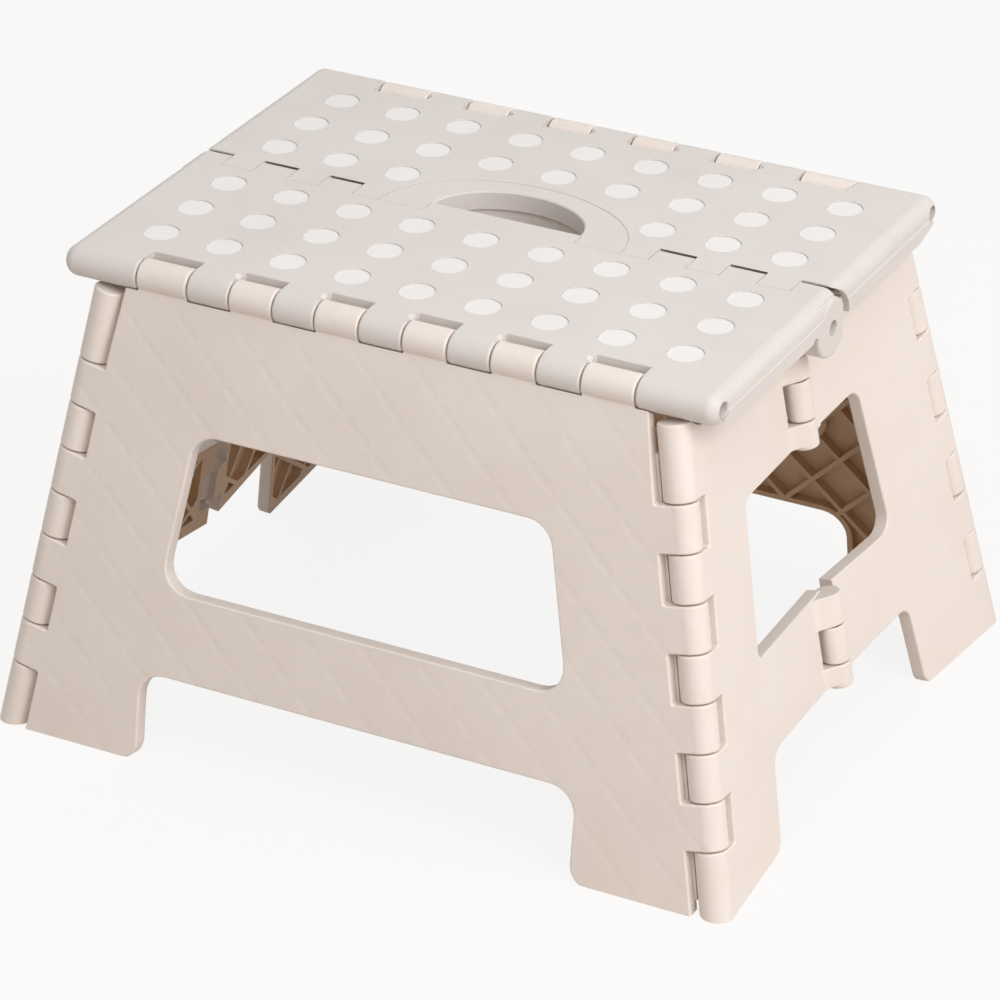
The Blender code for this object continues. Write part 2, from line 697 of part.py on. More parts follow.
def tread_half(kind):
    """Make a tread half at the front, with the front or the rear half's seam."""
    right = seam_edge(kind)
    left = [(-x, y) for x, y in reversed(right[:-1])]
    limit = TREAD_HALF - SKIRT_ROUND
    outline = [(-limit, -PLATE_FRONT), (limit, -PLATE_FRONT)] + right + left
    under_plate = TREAD_HEIGHT - TREAD_PLATE
    plate = prism(outline, WORLD, under_plate, TREAD_HEIGHT)

    skirt_low = TREAD_UNDER - RUN_GAP
    inner = TREAD_HALF - SKIRT_WALL
    profile = rounded([
        (TREAD_HALF, skirt_low, 0.0), (TREAD_HALF, TREAD_HEIGHT, SKIRT_ROUND),
        (limit - SKIRT_WALL, TREAD_HEIGHT, 0.0), (limit - SKIRT_WALL, under_plate, 0.0),
        (inner, under_plate, SKIRT_WALL), (inner, skirt_low, 0.0)])
    seam_stop = FRONT_REACH if kind == "front" else -FRONT_REACH - SEAM_END_GAP
    join(plate, *pair_x(prism(profile, END_ON, -EDGE_AXIS_Y, seam_stop)))

    ribs = []
    reach = TREAD_HALF - SKIRT_WALL / 2
    deep = (TREAD_UNDER, under_plate + TREAD_PLATE / 2)
    rows = [(first + second) / 2 for first, second in zip(DOT_ROWS, DOT_ROWS[1:])]
    for middle in rows:
        ribs.append(box(WORLD, (-reach, reach), (-middle - TREAD_RIB / 2, -middle + TREAD_RIB / 2), deep))
    wall_face = PLATE_FRONT - BLEND
    ribs.append(box(WORLD, (-reach, reach), (-wall_face, TREAD_RIB - wall_face), deep))
    strip_low = under_plate - SEAT_GAP - STRIP_THICKNESS
    shallow = (TREAD_UNDER + BLEND, strip_low - SEAT_GAP)
    seam_rib = SEAM_LOBE_RADIUS + RUN_GAP
    ribs.append(box(WORLD, (-reach, reach), (-seam_rib - TREAD_RIB, -seam_rib),
                    (TREAD_UNDER, strip_low - 2 * SEAT_GAP)))
    join(plate, *ribs)
    crosses = []
    for place in TREAD_CROSS_RIBS:
        middle = place * DOT_PITCH
        crosses += pair_x(box(WORLD, (middle - TREAD_RIB / 2, middle + TREAD_RIB / 2),
                              (TREAD_RIB / 2 - wall_face, -seam_rib - TREAD_RIB / 2), shallow))
    join(plate, *crosses)

    blocks = []
    barrels = []
    for low, high in edge_spaces():
        end = min(high, limit)
        block = box(WORLD, (low, end), (-EDGE_AXIS_Y, TREAD_RIB / 2 - wall_face),
                    (EDGE_AXIS_Z - EDGE_BARREL_RADIUS / 2, TREAD_HEIGHT))
        barrel = drum(EDGE_LINE, EDGE_BARREL_RADIUS, low, high, BARREL_SIDES)
        if low < 0.0:
            blocks.append(block)
            barrels.append(barrel)
        else:
            blocks += pair_x(block)
            barrels += pair_x(barrel)
    join(plate, *blocks)
    join(plate, *barrels)

    lobes = []
    stems = []
    finger_reach = (FRONT_REACH if kind == "front" else REAR_REACH) - BLEND
    for low, high in seam_fingers(kind):
        lobes += pair_x(drum(SEAM_LINE, SEAM_LOBE_RADIUS, low, high, BARREL_SIDES))
        stem_high = min(high - BLEND, TREAD_HALF - SKIRT_WALL / 2)
        stems += pair_x(box(WORLD, (low + BLEND, stem_high), (-seam_rib - TREAD_RIB / 2, finger_reach),
                            (SEAM_AXIS_Z, under_plate + TREAD_PLATE / 2)))
    join(plate, *stems)
    if kind == "rear":
        slot_wall = ellipse(HAND_SLOT_LENGTH / 2 + HAND_SLOT_WALL, HAND_SLOT_DEPTH + HAND_SLOT_WALL,
                            -TONGUE_REACH)
        wall = clip(slot_wall, (0.0, -1.0), TONGUE_REACH + RUN_GAP)
        join(plate, prism(wall, WORLD, TREAD_UNDER - BLEND, under_plate + TREAD_PLATE / 2))
        slot = ellipse(HAND_SLOT_LENGTH / 2, HAND_SLOT_DEPTH, -TONGUE_REACH)
        cut(plate, prism(slot, WORLD, TREAD_UNDER - SEAM_LOBE_RADIUS, TREAD_HEIGHT + OVERCUT))
        last = seam_fingers("front")[-1]
        cut(plate, *pair_x(drum(SEAM_LINE, SEAM_LOBE_RADIUS + RUN_GAP, last[0] - RUN_GAP,
                                TREAD_HALF + OVERCUT, BARREL_SIDES)))
    join(plate, *lobes)

    holes = []
    for row in range(len(DOT_ROWS)):
        for group in dot_places(row, kind):
            for place in group:
                holes.append(drum(dot_line(place, row), DOT_RADIUS + SEAT_GAP, strip_low,
                                  TREAD_HEIGHT + OVERCUT, DOT_SIDES))
    cut(plate, *holes)
    reach = TREAD_HALF + OVERCUT
    cut(plate, drum(EDGE_LINE, EDGE_PIN_RADIUS + PIN_GAP, -reach, reach, BORE_SIDES),
        drum(SEAM_LINE, SEAM_PIN_RADIUS + PIN_GAP, -reach, reach, BORE_SIDES))
    return plate


def grip_strip(row, group):
    """Make a strip of dots at the front half's place."""
    high = TREAD_HEIGHT - TREAD_PLATE - SEAT_GAP
    low = high - STRIP_THICKNESS
    middle = DOT_ROWS[row]
    half = STRIP_WIDTH / 2
    strip = box(WORLD, (group[0] * DOT_PITCH - half, group[-1] * DOT_PITCH + half),
                (-middle - half, -middle + half), (low, high))
    dots = [drum(dot_line(place, row), DOT_RADIUS, (low + high) / 2, TREAD_HEIGHT, DOT_SIDES)
            for place in group]
    return join(strip, *dots)


def main():
    """Build every piece of the stool."""
    for body in list(bpy.data.objects):
        bpy.data.objects.remove(body)
    half_turn = Matrix.Rotation(pi, 4, "Z")
    edge_front = EDGE_POINT
    edge_rear = half_turn @ EDGE_POINT
    seam = Vector((0.0, 0.0, SEAM_AXIS_Z))

    front = tread_half("front")
    finish(front, "tread_front", edge_front, paint("tread_front_grey", GREY, TREAD_ROUGHNESS, 0.0))
    rear = mirrored(tread_half("rear"), Y_AXIS)
    finish(rear, "tread_rear", seam, paint("tread_rear_grey", GREY, TREAD_ROUGHNESS, 0.0))
    for kind, pivot in (("front", edge_front), ("rear", seam)):
        for row in range(len(DOT_ROWS)):
            groups = dot_places(row, kind)
            for index, group in enumerate(groups):
                strip = grip_strip(row, group)
                if kind == "rear":
                    mirrored(strip, Y_AXIS)
                name = f"grip_{kind}_{row + 1}"
                if len(groups) > 1:
                    name += ("_left", "_right")[index]
                finish(strip, name, pivot, paint(name + "_light", LIGHT, PANEL_ROUGHNESS, 0.0))

    finish(leg_panel(), "front_leg_panel", edge_front, paint("front_leg_cream", CREAM, PANEL_ROUGHNESS, 0.0))
    rear_panel = leg_panel()
    rear_panel.data.transform(half_turn)
    finish(rear_panel, "rear_leg_panel", edge_rear, paint("rear_leg_cream", CREAM, PANEL_ROUGHNESS, 0.0))

    for across in ("right", "left"):
        for kind in ("front", "rear"):
            half = end_half(kind)
            corner_pin = drum(CORNER_LINE, CORNER_PIN_RADIUS, CORNER_PIN_INSET,
                              KNUCKLE_TOP - CORNER_PIN_INSET, BORE_SIDES)
            pivot = CORNER_POINT.copy()
            if kind == "rear":
                mirrored(half, Y_AXIS)
                mirrored(corner_pin, Y_AXIS)
                pivot.y = -pivot.y
            if across == "left":
                mirrored(half, X_AXIS)
                mirrored(corner_pin, X_AXIS)
                pivot.x = -pivot.x
            name = f"end_{across}_{kind}"
            finish(half, name, pivot, paint(name + "_cream", CREAM, PANEL_ROUGHNESS, 0.0))
            pin_name = f"corner_pin_{across}_{kind}"
            finish(corner_pin, pin_name, pivot, paint(pin_name + "_steel", STEEL, PIN_ROUGHNESS, 1.0))
        for place, group in (("upper", END_UPPER), ("lower", END_LOWER)):
            pin = drum(HINGE_LINE, END_PIN_RADIUS, hinge_along(group[0]) + END_PIN_INSET,
                       hinge_along(group[3]) - END_PIN_INSET, BORE_SIDES)
            pivot = CORNER_POINT.copy()
            if across == "left":
                mirrored(pin, X_AXIS)
                pivot.x = -pivot.x
            name = f"end_pin_{across}_{place}"
            finish(pin, name, pivot, paint(name + "_steel", STEEL, PIN_ROUGHNESS, 1.0))
        seam_pin = drum(SEAM_LINE, SEAM_PIN_RADIUS, SEAM_FIRST + SEAM_PIN_INSET,
                        TREAD_HALF - SEAM_PIN_INSET, BORE_SIDES)
        if across == "left":
            mirrored(seam_pin, X_AXIS)
        name = f"seam_pin_{across}"
        finish(seam_pin, name, seam, paint(name + "_steel", STEEL, PIN_ROUGHNESS, 1.0))

    reach = TREAD_HALF - EDGE_PIN_INSET
    for kind, pivot in (("front", edge_front), ("rear", edge_rear)):
        pin = drum(EDGE_LINE, EDGE_PIN_RADIUS, -reach, reach, BORE_SIDES)
        if kind == "rear":
            mirrored(pin, Y_AXIS)
        name = f"{kind}_edge_pin"
        finish(pin, name, pivot, paint(name + "_steel", STEEL, PIN_ROUGHNESS, 1.0))


if __name__ == "__main__":
    main()
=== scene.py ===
"""Looks of a folding step stool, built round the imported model.

Every piece is modelled in millimetres and placed in metres in the model's own frame:
the origin lies on the floor under the middle of the tread, +X runs along the long side,
-Y is the front and +Z is up.
"""

import json
from contextlib import contextmanager
from math import acos, ceil, cos, pi, radians, sin, tan

import bmesh
import bpy
from mathutils import Matrix, Vector


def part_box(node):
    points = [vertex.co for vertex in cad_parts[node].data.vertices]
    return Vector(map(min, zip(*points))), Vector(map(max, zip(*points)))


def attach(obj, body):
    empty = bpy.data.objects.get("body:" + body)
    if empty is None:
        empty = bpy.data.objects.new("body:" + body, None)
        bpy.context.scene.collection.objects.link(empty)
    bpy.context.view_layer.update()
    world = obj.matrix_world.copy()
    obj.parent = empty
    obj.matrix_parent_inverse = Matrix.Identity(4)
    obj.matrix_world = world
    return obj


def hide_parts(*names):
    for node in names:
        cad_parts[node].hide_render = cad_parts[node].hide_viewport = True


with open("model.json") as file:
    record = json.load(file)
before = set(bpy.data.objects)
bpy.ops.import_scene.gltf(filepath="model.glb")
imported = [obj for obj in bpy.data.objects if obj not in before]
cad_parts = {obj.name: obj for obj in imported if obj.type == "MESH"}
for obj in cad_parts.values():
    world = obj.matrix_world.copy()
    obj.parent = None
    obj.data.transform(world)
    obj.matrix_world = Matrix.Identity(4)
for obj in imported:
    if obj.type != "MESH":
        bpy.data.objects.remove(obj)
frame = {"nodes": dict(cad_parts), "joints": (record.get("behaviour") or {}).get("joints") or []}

bl_info = {
    "name": "Folding Step Stool",
    "version": (1, 0, 0),
    "blender": (4, 5, 0),
    "location": "View3D > Sidebar > Stool",
    "description": "Builds the mouldings, grip dots, finishes and stage of a folding step stool",
    "category": "Object",
}

MM = 0.001
X_AXIS = Vector((1.0, 0.0, 0.0))
Y_AXIS = Vector((0.0, 1.0, 0.0))
Z_AXIS = Vector((0.0, 0.0, 1.0))
JOINTS = {joint["name"]: joint for joint in frame["joints"]}
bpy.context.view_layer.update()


def joint_point(name):
    """Return a joint's point in millimetres."""
    return Vector(JOINTS[name]["pos_m"]) / MM


def frame_at(origin, u_axis, v_axis, w_axis):
    """Return the matrix that takes (u, v, w) to the stool's frame, in millimetres."""
    matrix = Matrix.Identity(4)
    for column, axis in enumerate((u_axis, v_axis, w_axis)):
        matrix.col[column] = (*axis, 0.0)
    matrix.translation = origin
    return matrix


def line_along(origin, direction, side):
    """Return a frame whose w axis runs along direction, with u as near to side as can be."""
    w_axis = Vector(direction).normalized()
    u_axis = (Vector(side) - w_axis * w_axis.dot(Vector(side))).normalized()
    return frame_at(origin, u_axis, w_axis.cross(u_axis), w_axis)


# Clearances, and how far a flat face lies below the barrel that it runs into
GAP = 0.6
SINK = 0.05
OVER = 1.0
BLEND = 0.1

# Tread
TREAD_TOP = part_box("tread_front")[1].z / MM
TREAD_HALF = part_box("tread_front")[1].x / MM
DECK = TREAD_TOP - SINK
PLATE_UNDER = TREAD_TOP - 3.0
RIB_UNDER = TREAD_TOP - 15.0
SKIRT_LOW = RIB_UNDER - GAP
SKIRT_WALL = 3.0
SKIRT_ROUND = 6.0
SKIRT_FOOT_ROUND = 0.6
SKIRT_STEP_ROUND = 0.2
PLATE_HALF = TREAD_HALF - SKIRT_ROUND
SKIRT_STEP = 0.35
SKIRT_STEP_Z = TREAD_TOP - 8.8
SKIRT_RISE = 15.0
SKIRT_ARCH = (-17.0, 3.0)
RIB = 2.0
CROSS_RIBS = (46.2, 107.8)
SLOT_HALF = 35.0
SLOT_DEPTH = 25.5
SLOT_WALL = 2.5
SLOT_LEDGE = 1.2
SLOT_LEDGE_Z = TREAD_TOP - 8.5
TONGUE_HALF = 36.2
TONGUE_REACH = 1.3
PAD_HALF = (58.0, 42.0)
PAD_MIDDLE = 6.0
PAD_LINE = 0.6
PAD_LINE_DEPTH = 0.35

# Edge hinges
EDGE_POINT = joint_point("fold")
EDGE_RADIUS = TREAD_TOP - EDGE_POINT.z
EDGE_BORE = 3.6
EDGE_NOTCH = 9.0
EDGE_MOUTH = Vector((1.0, -0.5, 0.1))
EDGE_MOUTH_DEPTH = 2.2
SCOOP_RADIUS = 2.6
SCOOP_BACK = 4.7
SCOOP_RISE = 0.9
EDGE_BARRELS = ((10.5, 30.7), (51.3, 71.5), (92.3, 116.2))

# Seam hinge
SEAM_POINT = joint_point("seam")
SEAM_RADIUS = 11.0
SEAM_BORE = 3.6
SEAM_GAP = 0.3
SEAM_END_GAP = 2.2
SEAM_UNDERCUT = 3.0
END_LOBE_RADIUS = 13.2
END_LOBE_FLAT = 11.0
END_LOBE_ROOM = 16.3
END_LOBE_RIM = 1.6
FRONT_FINGER = 17.2
REAR_FINGER = 15.4
FRONT_FINGERS = 3
REAR_FIRST_LOBE = 13.6
FRONT_REACH = 3.4
REAR_REACH = 6.5
SEAM_START = TREAD_HALF - FRONT_FINGERS * FRONT_FINGER - (FRONT_FINGERS - 1) * REAR_FINGER

# Grip dots
DOT_PITCH = 30.81
DOT_ROWS = (21.64, 49.545, 77.45)
DOT_HALF_COUNT = 4
DOT_SLOT_GAP = 1
DOT_HOLE_GAP = 0.05
DOT_RIM_SHARE = 1 / 3
STRIP_GAP = 0.3
STRIP_WIDTH = 18.0
STRIP_THICKNESS = 2.0

# Leg panels
CORNER_POINT = joint_point("corner_right_front")
CORNER_UP = Vector(JOINTS["corner_right_front"]["axis"]).normalized()
LEG_UP = Vector((0.0, CORNER_UP.y, CORNER_UP.z)).normalized()
LEG_OUT = Vector((0.0, -LEG_UP.z, LEG_UP.y))
LEG = frame_at(EDGE_POINT, X_AXIS, LEG_UP, LEG_OUT)
LEG_THICKNESS = 7.0
LEG_TOP = -(EDGE_RADIUS + 2 * GAP)
LEG_LIP = -4.6
LEG_DIP = 2.2
LEG_DIP_START = -36.0
LEG_DIP_DEPTH = 4.0
LEG_FILLET = 2.0
LEG_WINDOW = (80.0, 152.4)
LEG_WINDOW_HALF = 83.6
LEG_WINDOW_ROUND = 12.0
LEG_CUT_TOP = 41.0
LEG_CUT_HALF = 105.0
LEG_CUT_ROUND = 12.0
FOOT_ROUND = 9.0

# Corner hinges
LEAN = CORNER_UP.angle(LEG_UP)
CORNER_RADIUS = 7.25
CORNER_BORE = 2.8
CORNER_BORE_START = 5.7
CORNER_SETBACK = 8.75
KNUCKLE_BASE = 28.7
KNUCKLE_PITCH = 21.15
KNUCKLE_COUNT = 7
KNUCKLE_TOP = (TREAD_TOP - 16.1) / CORNER_UP.z
KNUCKLE_CAP = 2.0
KNUCKLE_LIP = 0.4
KNUCKLE_LIP_DEPTH = 1.6
CORNER_LEG = frame_at(CORNER_POINT, CORNER_UP.cross(LEG_OUT), CORNER_UP, LEG_OUT)
CORNER_LINE = line_along(CORNER_POINT, CORNER_UP, X_AXIS)

# End halves
END_TURN = radians(5.0)
END_LEVEL = Vector((1.0, tan(END_TURN), 0.0))
END_OUT = (END_LEVEL - Z_AXIS * (CORNER_UP.dot(END_LEVEL) / CORNER_UP.z)).normalized()
END_ACROSS = CORNER_UP.cross(END_OUT)
END = frame_at(CORNER_POINT, END_ACROSS, CORNER_UP, END_OUT)
END_OUTER = CORNER_RADIUS
END_INNER = CORNER_RADIUS - 6.5
END_TOP = {"corner": 200.0, "middle": 189.0}
END_WINDOW_LOW = {"front": 84.0, "rear": 80.4}
END_WINDOW_TOP = 151.0
END_WINDOW_SIDE = {"front": 49.2, "rear": 61.5}
END_WINDOW_ROUND = {"front": 4.0, "rear": 8.0}
END_FOOT_SIDE = {"front": 57.0, "rear": 62.5}
END_FOOT_ROUND = 8.0
END_ARCH_ROUND = 8.0
END_CUT_TOP = 41.0
HINGE_OUTSET = 2.6
HINGE_W = CORNER_RADIUS + HINGE_OUTSET
HINGE_RADIUS = 6.0
HINGE_BORE = {"front": 1.5, "rear": 4.9}
HINGE_SETBACK = 9.2
HINGE_MEET = 0.5
HINGE_CLEAR = 4.0
HINGE_LIFT = 1.8
HINGE_CAP = 1.4
HINGE_GROUPS = ((146.5, 158.9, 177.1, 188.0), (36.0, 47.1, 64.7, 79.5))
HINGE_BLEND_START = 18.0
HINGE_BLEND_ANGLE = radians(140.0)
HINGE_BLEND_ROUND = 6.0

# Ribs behind the panels' faces
FACE_WALL = 2.6
RIM_WALL = 3.0
POCKET_LEAST = 30.0
RIB_ORIGIN = (11.03, -1.84)

# Fineness
ROUND_SIDES = 48
BORE_SIDES = 32
DOT_SIDES = 40
SLOT_SIDES = 96
CORNER_STEPS = 6
RIM_STEPS = 3
STEPS_PER_MM = 1.5
SMOOTH_ANGLE = radians(32.0)
WELD = 0.0005
TOUCH = 0.001


def hinge_across(up):
    """Return how far across an end half its middle hinge axis lies, at a distance up the corner."""
    start = END @ Vector((0.0, up, HINGE_W))
    return -start.y / END_ACROSS.y


HINGE_LOW = END @ Vector((hinge_across(0.0), 0.0, HINGE_W))
HINGE_HIGH = END @ Vector((hinge_across(KNUCKLE_TOP), KNUCKLE_TOP, HINGE_W))
HINGE_UP = (HINGE_HIGH - HINGE_LOW).normalized()
HINGE_LINE = line_along(HINGE_LOW, HINGE_UP, END_ACROSS)
HINGE_SIDE = frame_at(HINGE_LOW, HINGE_UP.cross(END_OUT), END_OUT, HINGE_UP)
EDGE_LINE = line_along(EDGE_POINT, X_AXIS, Z_AXIS)
SEAM_LINE = line_along(SEAM_POINT, X_AXIS, Z_AXIS)
WORLD = Matrix.Identity(4)
END_ON = frame_at(Vector(), X_AXIS, Z_AXIS, Y_AXIS)
SIDE_ON = frame_at(Vector(), Y_AXIS, Z_AXIS, X_AXIS)

# Finishes and stage
DEEP_SHARES = (0.955, 0.945, 0.935)
DUST_SHARES = (0.80, 0.78, 0.76)
DULL_SHARES = (0.8, 0.8, 0.8)
GREY_SPECKLE = 0.55
DOT_SPECKLE = 0.15
CREAM_SPECKLE = 0.2
MOTTLE_RANGE = (0.4, 0.75)
SPECK_RANGE = (0.68, 0.76)
PLASTIC_GLOSS = (-0.06, 0.10)
STEEL_GLOSS = (0.25, 0.45)
GRAIN_STRENGTH = 0.25
GRAIN_DEPTH = 0.05 * MM
SINK_DEPTH = 0.25 * MM
SINK_STRENGTH = 0.35
SINK_SPREAD = 0.16
WHITE = (1.0, 1.0, 1.0, 1.0)
WARM_WHITE = (1.0, 0.985, 0.97, 1.0)
FLOOR_COLOUR = (0.69, 0.62, 0.57, 1.0)
FLOOR_SIZE = 6.0
LAMP_TARGET = Vector((0.0, 0.0, 0.12))


def length(name, description, default, low, high):
    """Return a length setting, given in millimetres."""
    return bpy.props.FloatProperty(
        name=name, description=description, default=default * MM, min=low * MM, max=high * MM,
        unit="LENGTH", precision=4)


def tint(name, description, default):
    """Return a colour setting."""
    return bpy.props.FloatVectorProperty(
        name=name, description=description, default=default, min=0.0, max=1.0, subtype="COLOR", size=3)


def share(name, description, default):
    """Return a setting from 0 to 1."""
    return bpy.props.FloatProperty(
        name=name, description=description, default=default, min=0.0, max=1.0, subtype="FACTOR")


def angle(name, description, degrees):
    """Return an angle setting, given in degrees."""
    return bpy.props.FloatProperty(
        name=name, description=description, default=radians(degrees), subtype="ANGLE", unit="ROTATION")


def power(name, description, watts):
    """Return a lamp's power setting."""
    return bpy.props.FloatProperty(name=name, description=description, default=watts, min=0.0, unit="POWER")


class StoolSizes(bpy.types.PropertyGroup):
    """Sizes of the mouldings' details"""

    rim_round: length("Rim Round", "Rounding of the panels' outer rims", 0.9, 0.1, 1.5)
    inner_round: length("Inner Round", "Rounding of the panels' inner rims", 0.5, 0.1, 1.0)
    barrel_round: length("Barrel Round", "Rounding of the hinge barrels' ends", 1.0, 0.1, 1.5)
    dot_radius: length("Dot Radius", "Radius of a grip dot", 7.8, 5.0, 8.0)
    dot_recess: length("Dot Recess", "How far a grip dot lies below the tread", 0.45, 0.0, 1.0)
    rib_pitch: length("Rib Pitch", "Distance between the slanting ribs inside the panels", 20.2, 15.0, 50.0)
    rib_width: length("Rib Width", "Width of the slanting ribs inside the panels", 2.2, 1.0, 5.0)


class StoolFinishes(bpy.types.PropertyGroup):
    """Colours and roughness of the finishes"""

    grey: tint("Grey Plastic", "Colour of the tread", (0.695, 0.65, 0.62))
    light: tint("Light Plastic", "Colour of the grip dots", (0.83, 0.81, 0.80))
    cream: tint("Cream Plastic", "Colour of the leg panels and end halves", (0.81, 0.73, 0.675))
    # Painted shade: a brown colour multiplied into the faces behind the panels' faces, standing in for the
    # shade and warm bounce light in those recesses.
    inner: tint("Inner Painted Shade", "Painted shade on the cream plastic behind the panels' faces", (0.90, 0.71, 0.50))
    steel: tint("Pin Steel", "Colour of the hinge pins", (0.55, 0.55, 0.56))
    roughness: share("Plastic Roughness", "Roughness of the moulded plastic", 0.5)


class StoolStage(bpy.types.PropertyGroup):
    """Camera, lamps and floor"""

    camera_place: bpy.props.FloatVectorProperty(
        name="Camera Place", description="Where the camera stands", subtype="TRANSLATION", size=3,
        default=(0.89642, -1.69072, 1.11962))
    camera_azimuth: angle("Camera Azimuth", "Angle round the stool, from the front toward the right", 28.008)
    camera_elevation: angle("Camera Elevation", "Angle over the floor", 28.402)
    camera_roll: angle("Camera Roll", "Turn about the line of sight", -0.214)
    camera_lens: bpy.props.FloatProperty(
        name="Camera Lens", description="Focal length on a 36 mm sensor",
        default=178.89, min=1.0, unit="CAMERA")
    sky_strength: bpy.props.FloatProperty(
        name="Sky Strength", description="Strength of the light from all sides", default=0.42, min=0.0)
    key_power: power("Key Power", "Power of the lamp at the right", 23.8)
    front_power: power("Front Power", "Power of the lamp before the stool", 10.6)
    top_power: power("Top Power", "Power of the lamp behind and over the stool", 4.4)
    floor_white: share("Floor White", "Share of plain white in the floor that the camera sees", 0.88)


def size(name):
    """Return one of the stool's sizes in millimetres."""
    return getattr(bpy.context.scene.stool_sizes, name) / MM


@contextmanager
def opened(body):
    """Open a body's mesh as a bmesh and write it back."""
    maker = bmesh.new()
    maker.from_mesh(body.data)
    yield maker
    maker.to_mesh(body.data)
    maker.free()


def linked(maker, name):
    """Turn a bmesh into a linked object."""
    mesh = bpy.data.meshes.new(name)
    maker.to_mesh(mesh)
    maker.free()
    body = bpy.data.objects.new(name, mesh)
    bpy.context.scene.collection.objects.link(body)
    return body


def flat(corners):
    """Return a bmesh with one face from (u, v) or (u, v, radius) corners, which a radius rounds."""
    maker = bmesh.new()
    verts = [maker.verts.new((corner[0], corner[1], 0.0)) for corner in corners]
    maker.faces.new(verts)
    points = [Vector(corner[:2]) for corner in corners]
    for index, corner in enumerate(corners):
        radius = corner[2] if len(corner) > 2 else 0.0
        if radius <= 0.0:
            continue
        back = points[index - 1] - points[index]
        ahead = points[(index + 1) % len(corners)] - points[index]
        bmesh.ops.bevel(
            maker, geom=[verts[index]], offset=radius / tan(back.angle(ahead) / 2), offset_type="OFFSET",
            segments=CORNER_STEPS, profile=0.5, affect="VERTICES", clamp_overlap=False, material=-1)
    return maker


def thicken(maker, low, high):
    """Extrude the flat faces of a bmesh between two heights into closed bodies."""
    bmesh.ops.translate(maker, verts=maker.verts, vec=(0.0, 0.0, low))
    raised = bmesh.ops.extrude_face_region(maker, geom=maker.faces[:], use_keep_orig=True)
    tops = [item for item in raised["geom"] if isinstance(item, bmesh.types.BMVert)]
    bmesh.ops.translate(maker, verts=tops, vec=(0.0, 0.0, high - low))
    bmesh.ops.recalc_face_normals(maker, faces=maker.faces)
    return maker


def at_level(edge, level):
    """Tell whether an edge lies at a height."""
    return all(abs(vert.co.z - level) < TOUCH for vert in edge.verts)


def is_corner(edge):
    """Tell whether an edge lies between two faces that are not level with each other."""
    return edge.is_manifold and edge.calc_face_angle() > SMOOTH_ANGLE


def soften(maker, edges, width, steps=RIM_STEPS):
    """Round edges off."""
    bmesh.ops.bevel(
        maker, geom=edges, offset=width, offset_type="OFFSET", segments=steps, profile=0.5,
        affect="EDGES", clamp_overlap=False, loop_slide=False, material=-1)
    return maker


def place(maker, matrix, name="blank"):
    """Turn a bmesh into a linked object, placed by a matrix, with its faces outward."""
    bmesh.ops.transform(maker, matrix=matrix, verts=maker.verts)
    bmesh.ops.recalc_face_normals(maker, faces=maker.faces)
    return linked(maker, name)


def slice_off(maker, point, normal, clear=True):
    """Cut a bmesh along a plane; clearing leaves the normal's side, closed."""
    everything = maker.verts[:] + maker.edges[:] + maker.faces[:]
    bmesh.ops.bisect_plane(
        maker, geom=everything, dist=TOUCH, plane_co=point, plane_no=normal, clear_inner=clear)
    if clear:
        bmesh.ops.holes_fill(maker, edges=[edge for edge in maker.edges if edge.is_boundary], sides=0)


def prism(corners, matrix, low, high):
    """Make a plain prism from an outline."""
    return place(thicken(flat(corners), low, high), matrix)


def box(matrix, u_range, v_range, w_range):
    """Make a plain box."""
    (left, right), (near, far) = u_range, v_range
    return prism([(left, near), (right, near), (right, far), (left, far)], matrix, *w_range)


def drum(line, radius, low, high, round_low=0.0, round_high=0.0, sides=ROUND_SIDES):
    """Make a barrel round a line, with rounded ends."""
    maker = bmesh.new()
    bmesh.ops.create_cone(
        maker, cap_ends=True, cap_tris=False, segments=sides,
        radius1=radius, radius2=radius, depth=high - low)
    for level, width in (((low - high) / 2, round_low), ((high - low) / 2, round_high)):
        if width > 0.0:
            steps = max(RIM_STEPS, ceil(width * STEPS_PER_MM))
            soften(maker, [edge for edge in maker.edges if at_level(edge, level)], width, steps)
    bmesh.ops.translate(maker, verts=maker.verts, vec=(0.0, 0.0, (low + high) / 2))
    return place(maker, line)


def barrel(line, radius, low, high):
    """Make a hinge barrel round a line."""
    rounding = size("barrel_round")
    return drum(line, radius, low, high, rounding, rounding)


def bore(line, radius, low, high):
    """Make the body that cuts a round hole along a line."""
    return drum(line, radius, low, high, sides=BORE_SIDES)


def oval(half_x, half_y, middle_y, low, high, flare=0.0):
    """Make an upright oval prism, wider at its top by flare."""
    maker = bmesh.new()
    bmesh.ops.create_cone(
        maker, cap_ends=True, cap_tris=False, segments=SLOT_SIDES, radius1=1.0, radius2=1.0, depth=high - low)
    for vert in maker.verts:
        more = flare if vert.co.z > 0.0 else 0.0
        vert.co.x *= half_x + more
        vert.co.y *= half_y + more
    return place(maker, Matrix.Translation((0.0, middle_y, (low + high) / 2)))


def ring(half_x, half_y, middle_y, width, low, high):
    """Make an upright oval ring."""
    maker = bmesh.new()
    bmesh.ops.create_circle(maker, cap_ends=False, radius=1.0, segments=SLOT_SIDES)
    inner = maker.verts[:]
    grown = bmesh.ops.extrude_edge_only(maker, edges=maker.edges[:])
    outer = [item for item in grown["geom"] if isinstance(item, bmesh.types.BMVert)]
    bmesh.ops.scale(maker, verts=inner, vec=(half_x - width / 2, half_y - width / 2, 1.0))
    bmesh.ops.scale(maker, verts=outer, vec=(half_x + width / 2, half_y + width / 2, 1.0))
    thicken(maker, low, high)
    return place(maker, Matrix.Translation((0.0, middle_y, 0.0)))


def grouped(bodies):
    """Join bodies that do not touch each other into one object."""
    maker = bmesh.new()
    for body in bodies:
        maker.from_mesh(body.data)
        discard(body)
    return linked(maker, "group")


def discard(body):
    """Remove an object and its mesh."""
    mesh = body.data
    bpy.data.objects.remove(body)
    bpy.data.meshes.remove(mesh)


